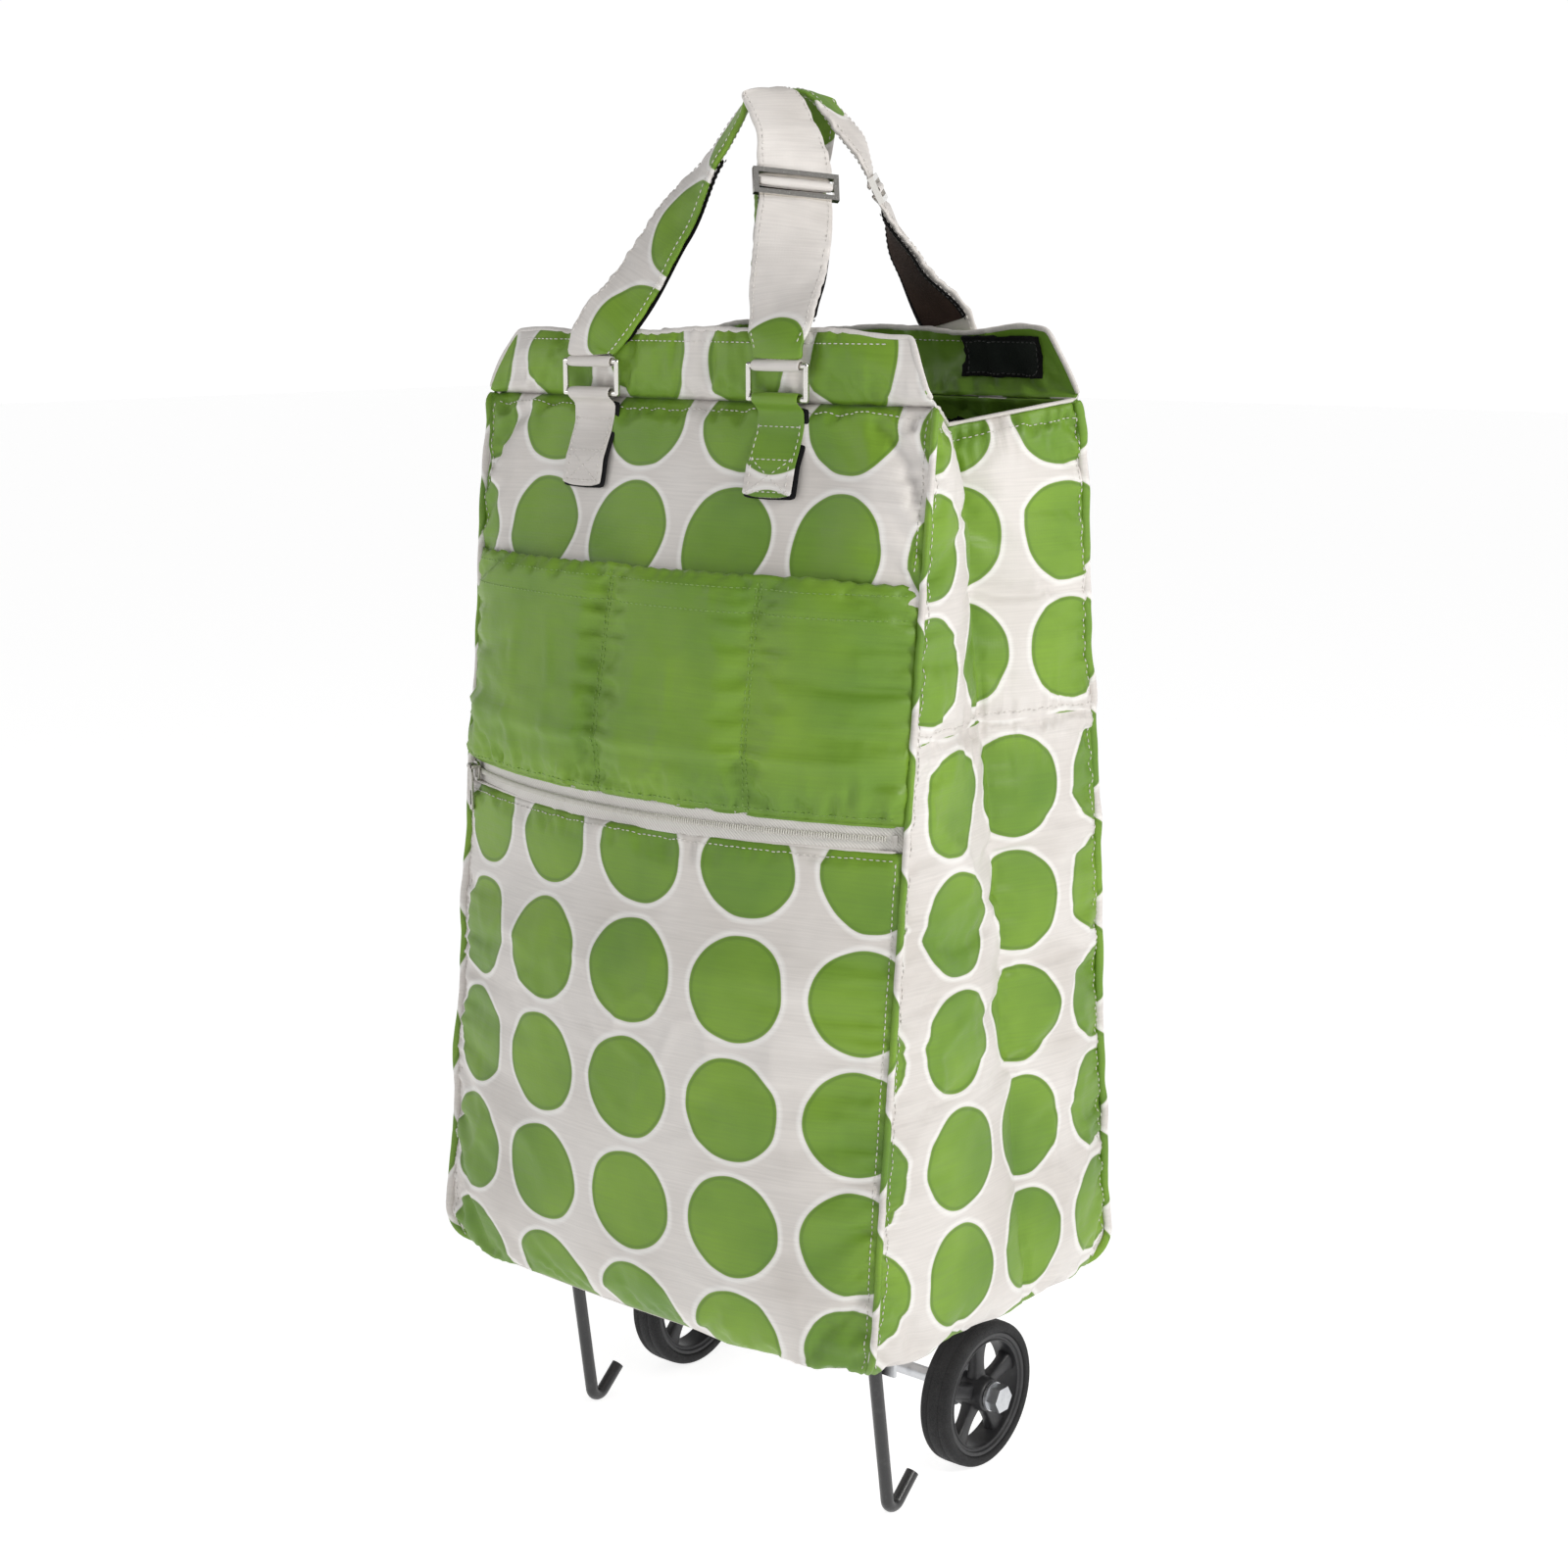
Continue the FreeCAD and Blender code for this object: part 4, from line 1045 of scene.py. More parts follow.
def surfaceAt(points, column, row):
    # a place on a grid of points, and the way its surface faces there
    i, j = min(int(column), points.shape[1] - 2), min(int(row), points.shape[0] - 2)
    s, t = column - i, row - j
    low = points[j, i] * (1 - s) + points[j, i + 1] * s
    high = points[j + 1, i] * (1 - s) + points[j + 1, i + 1] * s
    normal = np.cross(points[j, i + 1] - points[j, i], points[j + 1, i] - points[j, i])
    return low * (1 - t) + high * t, normal / np.linalg.norm(normal)


def between(lines, place):
    first = min(max(int(place), 0), len(lines) - 2)
    share = place - first
    return lines[first] * (1 - share) + lines[first + 1] * share


def columnAt(points, x, row):
    xs = between(points, row)[:, 0]
    order = 1 if xs[-1] > xs[0] else -1
    return float(np.interp(x * order, xs * order, np.arange(len(xs))))


def onSurface(points, x, z, lift):
    row = points.shape[0] / 2
    for repeat in range(3):
        column = columnAt(points, x, row)
        zs = between(points.transpose(1, 0, 2), column)[:, 2]
        row = float(np.interp(z, zs, np.arange(len(zs))))
    place, normal = surfaceAt(points, column, row)
    return Vector(place + normal * lift)


stitchRuns = {"white": [], "green": [], "black": []}


def makeCollar(name, points, place, seed):
    shaped = collarShape(points, seed)
    heights = [mouthZ] + collarLevels
    flat = arcLayout(collarStart[-1 if name == "front" else 1], collarLevels, *dotPlaces[place])
    flat = np.concatenate([flat[:1] - np.array([0.0, heights[1] - heights[0]]), flat])
    obj = clothPiece(name + "_collar_cloth", shaped, flat, gathers=[(1, None)], amount=0.9, seed=seed)
    finish(obj, "bag", "dot_fabric", name + "_collar")
    normals = gridNormals(shaped)
    path, facing = ([p for p in grid[1:, 0]] + [p for p in grid[-1][1:-1]] + [p for p in grid[1:, -1][::-1]]
                    for grid in (shaped, normals))

    def radiusAt(k):
        return collar["hemRadius"] * (1.0 + 0.3 * noiseAt(k * 0.45, seed))
    path = [p + (-0.00055) * np.array(n) for p, n in zip(path, facing)]
    hemPart = sweepPart(path, 10, radiusAt, 0.75, facing, (0.03, 0.03))
    finish(tubePiece(name + "_collar_hem", [hemPart], ["white"]), "bag", "dot_fabric")
    for lift in (0.0002, -0.0014):
        stitchRuns["white"].append([onSurface(shown[name + "_collar"], x, collarTop - 0.0055, lift)
                                    for x in np.linspace(-0.118, 0.118, 80)])
    return shaped


def makePatches(name, points):
    parts = []
    for side in (-1, 1):
        across, up = 19, 9
        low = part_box(name + "_collar_patches")[0].z
        face = np.zeros((up, across, 3))
        for j in range(up):
            for i in range(across):
                x = side * (patch["offset"] + patch["length"] * (i / (across - 1.0) - 0.5))
                z = low + 0.0006 + patch["height"] * j / (up - 1.0)
                face[j, i] = onSurface(points, x, z, -patch["gap"] - patch["wall"])
        parts.append(face)
        outline = []
        inset = 0.0022
        for s, t in ((0, 0), (1, 0), (1, 1), (0, 1), (0, 0)):
            outline.append((side * (patch["offset"] + (patch["length"] / 2 - inset) * (2 * s - 1)),
                            low + inset + (patch["height"] - 2 * inset) * t))
        run = []
        for (x0, z0), (x1, z1) in zip(outline, outline[1:]):
            count = max(3, int(math.hypot(x1 - x0, z1 - z0) / 0.002))
            run += [onSurface(points, x0 + (x1 - x0) * k / count, z0 + (z1 - z0) * k / count,
                              -patch["gap"] - patch["wall"] - 0.0001) for k in range(count)]
        stitchRuns["black"].append(run)
    verts, faces, uvs = [], [], []
    for face in parts:
        start = len(verts)
        up, across = face.shape[:2]
        verts += [tuple(v) for v in face.reshape(-1, 3)]
        for quad in gridFaces(up, across):
            normal = np.cross(face[0, 1] - face[0, 0], face[1, 0] - face[0, 0])
            inward = -1.0 if name == "back" else 1.0
            order = quad if normal[1] * inward > 0 else quad[::-1]
            faces.append(tuple(start + v for v in order))
            for v in order:
                i, j = v % across, v // across
                # u nears 1 at the patch's rim, where the nap material paints its shadow line
                edge = max(abs(2.0 * i / (across - 1.0) - 1.0) ** 2.4, abs(2.0 * j / (up - 1.0) - 1.0))
                uvs.append((edge, j * 0.0025))
    obj = addPiece(name + "_collar_hooks", verts, faces, uvs, ["blackNap"])
    addWall(obj, patch["wall"], 0)
    addBevel(obj, 0.0004, 2)
    finish(obj, "bag", "hook_and_loop_black", name + "_collar_patches")


frontCollar = makeCollar("front", frontCollarCloth, "frontCollar", 2.0)
backCollar = makeCollar("back", backCollarCloth, "backCollar", 6.0)
makePatches("front", frontCollar)
makePatches("back", backCollar)
print("collars and patches made")


# the outside pocket, with stitched channels
pocket = {"lift": 0.0026, "wall": 0.0011, "channels": (-0.022, 0.071), "creaseZ": 0.408,
          "room": 0.045, "pressure": 0.9, "bending": 0.35, "steps": 22, "most": 0.0075}


def makePocket():
    rows = slice(zipHighRow, pocketRow + 1)
    base = columnsOf(bodyCloth, 0, frontCells)[rows]
    cut = columnsOf(bodyStart, 0, frontCells)[rows]
    count, width = base.shape[:2]
    channels = [round(columnAt(base, x, count // 2)) for x in pocket["channels"]]
    start = base.copy()
    start[:, :, 1] -= pocket["lift"]
    start[:, 0, 1] += pocket["lift"] * 0.6
    start[:, -1, 1] += pocket["lift"] * 0.6
    for column in channels:
        start[:, column, 1] += pocket["lift"] * 0.35
    pins = {}
    for j in range(count):
        for i in range(width):
            if j == 0 or i in (0, width - 1):
                pins[j * width + i] = 1.0
            elif i in channels:
                pins[j * width + i] = 0.9
            elif j == count - 1:
                pins[j * width + i] = 0.45
    settled = start
    settled = relaxCloth(start.reshape(-1, 3), gridFaces(count, width), pins, pocket).reshape(start.shape)
    out = base[:, :, 1] - settled[:, :, 1]
    out = np.clip(out, 0.0016, pocket["most"])
    settled[:, :, 1] = base[:, :, 1] - out
    seams = [(0, None), (None, channels[0]), (None, channels[1]), (None, width - 1)]
    settled = crumpled(settled, seams, 31.0, 0.9)
    for j in range(count):
        for i in range(width):
            wander = 0.0035 * noiseAt(settled[j, i, 0] * 14.0, 3.0)
            away = abs(settled[j, i, 2] - pocket["creaseZ"] - wander)
            settled[j, i, 1] -= 0.0024 * math.exp(-(away / 0.0045) ** 2) - 0.0008
    settled[:, :, 1] = np.minimum(settled[:, :, 1], base[:, :, 1] - 0.0014)
    flat = arcLayout(cut, levels[rows], 0.0, 0.0)
    gathers = [(0, None), (0, None)] + [(None, column) for column in channels]
    obj = clothPiece("front_pocket_cloth", settled, flat, wall=pocket["wall"], outer="green",
                     gathers=gathers, amount=1.25, seed=8.1)
    finish(obj, "bag", "green_fabric", "front_pocket")
    settled = shown["front_pocket"]
    for x in pocket["channels"]:
        for shift in (-0.001, 0.001):
            stitchRuns["green"].append([onSurface(settled, x + shift, z, 0.0001) for z in
                                        np.linspace(levels[zipHighRow] + 0.002, pocketTop - 0.002, 50)])
    for z in (pocketTop - 0.004, pocketTop - 0.0155, levels[zipHighRow] + 0.0035):
        stitchRuns["green"].append([onSurface(settled, x, z, 0.0001)
                                    for x in np.linspace(-0.143, 0.143, 130)])
    return settled[::2, ::2]


pocketCloth = makePocket()
print("pocket made")


# the zip: tape, coil, slider, pull and the folded cloth edges beside it
def makeZipTape():
    half = math.radians(zipper["ends"]) * zipper["radius"]
    xs = np.linspace(-half, half, 80)
    heights = [zipLow - 0.001, zipLow + 0.002, zipZ - 0.0022, zipZ, zipZ + 0.0022, zipHigh - 0.002,
               zipHigh + 0.001]
    points = np.array([[arcPoint(x, zipper["tapeBack"] + 0.0004 * noiseAt(x * 70.0, z * 90.0), z) for x in xs]
                       for z in heights])
    flat = np.array([[(x, z) for x in xs] for z in heights])
    obj = clothPiece("zip_tape_cloth", points, flat, wall=zipper["tapeWall"], outer="tape", lining="tape")
    finish(obj, "bag", "zip_tape", "zipper_tape")
    for name, source, row, material, slot in (
            ("zip_lower_edge", cloth["front"][zipLowRow], zipLowRow, "dots", "dot_fabric"),
            ("zip_upper_edge", pocketCloth[0], zipHighRow, "green", "green_fabric")):
        path = source[1:-1].copy()
        path[:, 1] += 0.0007

        def radiusAt(k, row=row):
            return zipper["edgeRadius"] * (1.0 + 0.3 * noiseAt(k * 0.7, row))
        rings, around, along = sweepPart(path, 10, radiusAt, 0.8, [(0, -1, 0)] * len(path), (0.03, 0.0))
        finish(tubePiece(name, [(rings, [0.03] * 11, along)], [material]), "bag", slot)


def turned(points, degrees):
    angle = math.radians(degrees)
    c, s = math.cos(angle), math.sin(angle)
    result = np.array(points, float)
    x, y = result[..., 0].copy(), result[..., 1] - zipper["centre"]
    result[..., 0] = c * x - s * y
    result[..., 1] = s * x + c * y + zipper["centre"]
    return result


def roundOutline(width, height, corner, count=5):
    points = []
    for cx, cz, start in ((1, 1, 0), (-1, 1, 90), (-1, -1, 180), (1, -1, 270)):
        for k in range(count):
            a = math.radians(start + 90.0 * k / (count - 1))
            points.append((cx * (width / 2 - corner) + corner * math.cos(a),
                           cz * (height / 2 - corner) + corner * math.sin(a)))
    return points


def openPlate(outer, inner, wall, place, axis="y"):
    # a plate with a hole, as four closed rings joined round
    verts = []
    for outline, side in ((outer, -0.5), (outer, 0.5), (inner, 0.5), (inner, -0.5)):
        for a, b in outline:
            local = (a, side * wall, b) if axis == "y" else (side * wall, a, b)
            verts.append(tuple(np.array(local) + place))
    return verts, ringFaces(4, len(outer), True)


def cappedFaces(rings, sides):
    last = rings * sides - 1
    return ringFaces(rings, sides) + [tuple(range(sides)), tuple(range(last, last - sides, -1))]


def solidPlate(outline, wall, place):
    verts = [tuple(np.array((a, side * wall, b)) + place) for side in (-0.5, 0.5) for a, b in outline]
    return verts, cappedFaces(2, len(outline))


def hardPiece(name, shapes, material, body, slot, replaced, turn=0.0, bevel=0.0003):
    verts, faces = [], []
    for shapeVerts, shapeFaces in shapes:
        start = len(verts)
        verts += list(turned(shapeVerts, turn)) if turn else list(shapeVerts)
        faces += [tuple(start + v for v in face) for face in shapeFaces]
    uvs = [(verts[v][0], verts[v][2]) for face in faces for v in face]
    obj = addPiece(name, verts, faces, uvs, [material], recalculate=True)
    addBevel(obj, bevel, 3).angle_limit = math.radians(32)
    finish(obj, body, slot, *replaced)


def makeSlider():
    face = zipper["centre"] - zipper["radius"] - 0.0002
    shield = zipper["shield"]
    small = [(a * 0.62, b * 0.62) for a, b in shield]
    bailZ = zipZ + 0.011 / 4
    bailY = face - 0.0024 - (0.0008 + 0.00008 + 0.0009 + 0.0002)
    shapes = [solidPlate(shield, 0.0016, np.array((0.0, face - 0.0009, zipZ))),
              solidPlate(small, 0.0008, np.array((0.0, face - 0.0020, zipZ)))]
    for side in (-1, 1):
        post = [(side * 0.0033 + a, b) for a, b in ((-0.0006, -0.0010), (0.0006, -0.0010), (0.0006, 0.0010),
                                                    (-0.0006, 0.0010))]
        shapes.append(solidPlate(post, abs(bailY - face) - 0.0004,
                                 np.array((0.0, (bailY - 0.0006 + face - 0.0012) / 2, bailZ))))
    bar = sweepRings([(x, bailY, bailZ) for x in (-0.0038, 0.0038)], 12, lambda k: 0.00078, 1.0)
    shapes.append(([tuple(v) for ring in bar for v in ring], cappedFaces(2, 12)))
    hardPiece("slider_body", shapes, "zipMetal", "zip_slider", "zip_metal", ["zipper_slider"], zipper["turn"])
    place = np.array((0.0, bailY, bailZ))
    circles = [[(radius * math.cos(a), radius * math.sin(a)) for a in np.arange(20) * (2.0 * math.pi / 20)]
               for radius in (0.00172, 0.00092)]
    eye = openPlate(*circles, 0.0046, place, "x")
    length, width = zipper["pull"]["length"] - 0.0014, zipper["pull"]["width"]
    outer = roundOutline(width - 0.0002, length, 0.0019)
    inner = [(a * 0.50, b * 0.36 - 0.0045) for a, b in roundOutline(width, length, 0.0024)]
    middle = place + np.array((0.0, 0.0, -0.0014 - length / 2))
    plate = openPlate(outer, inner, zipper["pull"]["wall"], middle)
    hardPiece("pull_tab", [eye, plate], "zipMetal", "zip_pull", "zip_metal", ["zipper_pull"], zipper["turn"])


# repeated items: threads of stitches and the teeth of the coil
def makeRunTree():
    tree, inside, outside = newGroup(
        "stitchRun",
        [("Geometry", "Geometry", None), ("Spacing", "Float", None), ("Size", "Vector", None),
         ("Variation", "Float", None), ("Seed", "Int", None), ("Material", "Material", None)],
        [("Geometry", "Geometry")], "GeometryNodeTree")
    given = inside.outputs
    curve = addNode(tree, "GeometryNodeMeshToCurve", i0=given["Geometry"])
    spaced = addNode(tree, "GeometryNodeResampleCurve", {"mode": "LENGTH"}, Curve=curve.outputs[0],
                     Length=given["Spacing"])
    ball = addNode(tree, "GeometryNodeMeshUVSphere", Segments=6, Rings=5, Radius=1.0)
    tangent = addNode(tree, "GeometryNodeInputTangent")
    turn = addNode(tree, "FunctionNodeAlignRotationToVector", {"axis": "X"}, Vector=tangent.outputs[0])
    chance = addNode(tree, "FunctionNodeRandomValue", {"data_type": "FLOAT"},
                     i2=mathNode(tree, "SUBTRACT", 1.0, given["Variation"]),
                     i3=mathNode(tree, "ADD", 1.0, given["Variation"]), Seed=given["Seed"])
    size = addNode(tree, "VectorMath", {"operation": "SCALE"}, i0=given["Size"], Scale=chance.outputs[1])
    copies = addNode(tree, "GeometryNodeInstanceOnPoints", Points=spaced.outputs[0],
                     Instance=ball.outputs["Mesh"], Rotation=turn.outputs[0], Scale=size.outputs[0])
    smooth = addNode(tree, "GeometryNodeSetShadeSmooth", Geometry=copies.outputs[0])
    real = addNode(tree, "GeometryNodeRealizeInstances", i0=smooth.outputs[0])
    paint = addNode(tree, "GeometryNodeSetMaterial", Geometry=real.outputs[0], Material=given["Material"])
    feed(tree, outside, Geometry=paint.outputs[0])
    return tree


runTree = makeRunTree()


def makeRuns(name, runs, body, slot, material, spacing, size, variation, seed, replaced=()):
    verts, edges = [], []
    for run in runs:
        start = len(verts)
        verts += [tuple(p) for p in run]
        edges += [(start + k, start + k + 1) for k in range(len(run) - 1)]
    mesh = bpy.data.meshes.new(name + "_path")
    mesh.from_pydata(verts, edges, [])
    obj = placed(name, mesh)
    modifier = obj.modifiers.new("runs", "NODES")
    modifier.node_group = runTree
    values = {"Spacing": spacing, "Size": size, "Variation": variation, "Seed": seed,
              "Material": materials[material]}
    for item in runTree.interface.items_tree:
        if item.in_out == "INPUT" and item.name in values:
            modifier[item.identifier] = values[item.name]
    graph = bpy.context.evaluated_depsgraph_get()
    made = bpy.data.meshes.new_from_object(obj.evaluated_get(graph), preserve_all_data_layers=True,
                                           depsgraph=graph)
    obj.modifiers.remove(modifier)
    obj.data = made
    finish(obj, body, slot, *replaced)


makeZipTape()
makeSlider()
coilHalf = math.radians(zipper["coilEnds"]) * zipper["radius"]
coilPath = [arcPoint(x, 0.0008, zipZ) for x in np.linspace(-coilHalf, coilHalf, 160)]
makeRuns("coil_teeth", [coilPath], "bag", "zip_coil", "coil", 0.0013, (0.00048, 0.0008, 0.00158), 0.03, 3,
         ["zipper_coil"])
print("zip made")


# strap handles: padded straps sewn round the rings, with hook-and-loop strips on their inner faces
strap = {
    "ringX": 0.062, "ringY": -0.0714532, "ringTop": 0.5925, "ringBar": 0.590, "crown": 0.722,
    "width": 0.038, "ringWidth": 0.031, "wall": 0.0046, "tapeWidth": 0.034, "tapeWall": 0.0012,
    "slideHalf": 0.0072, "step": 0.0024, "sides": 28,
    "puckerPitch": 0.0085, "pucker": 0.0010, "thinEnd": 0.0012, "loopWall": 0.0011, "loopReach": 0.00245,
}


def strapRoute():
    x, y, top, crown = strap["ringX"], strap["ringY"], strap["ringTop"], strap["crown"]
    wide, narrow = strap["width"], strap["ringWidth"]
    left = [((-x, y, top), (0, -1, 0), narrow), ((-x, y, top + 0.005), (0, -1, 0), narrow),
            ((-x + 0.006, y + 0.004, top + 0.016), (-0.05, -1, 0.2), wide),
            ((-x + 0.015, y + 0.012, top + 0.030), (-0.1, -0.95, 0.3), wide),
            ((-x + 0.031, y + 0.026, top + 0.064), (-0.2, -0.9, 0.35), wide),
            ((-x + 0.050, y + 0.041, top + 0.100), (-0.5, -0.65, 0.6), wide),
            ((0.008, -0.0195, crown), (0, -0.1, 1), wide - 0.004)]
    right = [((0.028, y + 0.047, crown - 0.018), (0.75, -0.25, 0.6), wide - 0.002),
             ((0.041, y + 0.039, crown - 0.046), (0.8, -0.55, 0.2), wide),
             ((0.050, y + 0.024, crown - 0.082), (0.5, -0.85, 0.15), wide),
             ((0.060, y + 0.005, top + 0.017), (0.1, -1, 0.2), wide),
             ((x, y, top + 0.005), (0, -1, 0), narrow), ((x, y, top), (0, -1, 0), narrow)]
    return left, right


def slideFrame():
    upper, middle, lower = strapRoute()[1][:3]
    along = (Vector(lower[0]) - Vector(upper[0])).normalized()
    across = along.cross(Vector(middle[1])).normalized()
    return Vector(middle[0]), along, across, across.cross(along)


def besideSlide(distance):
    middle, along, across, normal = slideFrame()
    side = 1 if distance > 0 else -1
    return [(tuple(middle + along * (side * reach)), tuple(normal), strap["width"])
            for reach in (strap["slideHalf"], strap["slideHalf"] + abs(distance))]


def strapStations():
    left, right = strapRoute()
    against, further = besideSlide(-0.003)
    return left + [right[0], further, against]


def tailStations():
    return besideSlide(0.003) + strapRoute()[1][2:]


def smoothRoute(stations, first=0, last=None):
    # evenly spaced frames along a curve through the stations: place, across, normal, width, distance
    places = [Vector(s[0]) for s in stations]
    facings = [Vector(s[1]).normalized() for s in stations]
    widths = [s[2] for s in stations]
    last = len(stations) - 1 if last is None else last
    fine = []
    for k in range(first, last):
        p0, p1 = places[max(k - 1, 0)], places[k]
        p2, p3 = places[k + 1], places[min(k + 2, len(places) - 1)]
        gap = (p2 - p1).length
        before = (p2 - p0) / max((p1 - p0).length + gap, 1e-9) * gap
        after = (p3 - p1) / max((p3 - p2).length + gap, 1e-9) * gap
        steps = max(2, int(round(gap / strap["step"])))
        for i in range(steps + (1 if k == last - 1 else 0)):
            t = i / steps
            place = (p1 * (2 * t ** 3 - 3 * t ** 2 + 1) + before * (t ** 3 - 2 * t ** 2 + t)
                     + p2 * (3 * t ** 2 - 2 * t ** 3) + after * (t ** 3 - t ** 2))
            ease = t * t * (3.0 - 2.0 * t)
            facing = facings[k].lerp(facings[k + 1], ease)
            fine.append([place, facing, widths[k] * (1 - ease) + widths[k + 1] * ease])
    frames = []
    distance = 0.0
    for k, (place, facing, width) in enumerate(fine):
        along = (fine[min(k + 1, len(fine) - 1)][0] - fine[max(k - 1, 0)][0]).normalized()
        across = along.cross(facing).normalized()
        distance += (place - fine[k - 1][0]).length if k else 0.0
        frames.append((place, across, across.cross(along), width, distance))
    return frames


def ribbonPart(frames, wall, zero=(0.0, 0.0), pucker=0.0, seed=0.0, fullness=0.55, shift=(0.0, 0.0),
               share=False, sides=None, width=None):
    sides = sides or strap["sides"]
    rings = []
    for k, (place, across, normal, frameWidth, distance) in enumerate(frames):
        half = (width or frameWidth) / 2
        thick = wall(k) if callable(wall) else wall
        sway = 0.0012 * noiseAt(distance * 38.0, seed) if pucker else 0.0
        ring = []
        for i in range(sides):
            a = 2.0 * math.pi * i / sides
            u, v = math.cos(a), math.sin(a)
            rise = math.copysign(abs(v) ** fullness, v) * thick / 2
            if pucker:
                phase = distance / strap["puckerPitch"] + 1.3 * noiseAt(distance * 60.0, seed, 0.5 * u)
                edge = abs(u) ** 3 * (0.35 + 0.65 * smoothStep(-0.2, 0.6, -u if seed < 50 else u))
                rise += pucker * edge * math.sin(2.0 * math.pi * phase) * (0.6 if v < 0 else 1.0)
                rise += pucker * 0.8 * noiseAt(distance * 70.0, u * 2.0 + seed, v) * (1.0 - abs(u) ** 4)
            x = half * u * (1.0 + (0.02 * noiseAt(distance * 90.0, seed + u) if pucker else 0.0))
            ring.append(tuple(place + across * (x + sway + shift[0]) + normal * (rise + shift[1])))
        rings.append(ring)
    around = [math.cos(2.0 * math.pi * i / sides) for i in range(sides + 1)]
    full = (width or strap["width"]) / 2
    around = [abs(c) if share else c * full - zero[0] for c in around]
    return np.array(rings), around, [frame[4] - zero[1] for frame in frames]


def mirrored(part, sign):
    rings = part[0].copy()
    rings[..., 1] *= sign
    return rings, part[1], part[2]


def clothTube(name, parts, whites):
    # dot print, with white cloth on some stretches of each part, told by distance along it
    obj = tubePiece(name, parts, ["dots", "white"])
    indices = []
    for (rings, around, along), stretches in zip(parts, whites):
        for distance in along[:-1]:
            plain = any(low <= distance <= high for low, high in stretches)
            indices += [1 if plain else 0] * rings.shape[1]
        indices += [1, 1]
    obj.data.polygons.foreach_set("material_index", indices)
    return obj


def slideEnd(frames, atStart):
    # the end of a strap thins and dives under the slide's bar
    count = len(frames)
    result = []
    along = slideFrame()[1]
    for k, (place, side, out, width, distance) in enumerate(frames):
        steps = k if atStart else count - 1 - k
        near = max(0.0, 1.0 - steps * strap["step"] / 0.011)
        result.append((place - out * (0.0009 * near), side, out, width * (1.0 - 0.02 * near), distance))
    last = result[0] if atStart else result[-1]
    sign = 1 if atStart else -1
    extra = []
    for k, (reach, drop) in enumerate(((0.0018, 0.0014), (0.0036, 0.0021), (0.0056, 0.0021))):
        place = last[0] - along * (reach * sign) - last[2] * drop
        extra.append((place, last[1], last[2], last[3] * 0.97, last[4] - sign * reach))
    return extra[::-1] + result if atStart else result + extra


def loopAround(middle, across, out, up, reach, width, steps, start, spacing):
    # frames of a band of cloth once round a bar
    frames = []
    for k in range(steps + 1):
        a = 2.0 * math.pi * k / steps + start
        outward = out * math.cos(a) + up * math.sin(a)
        frames.append((middle + outward * reach(a), across, outward, width, spacing * k))
    return frames


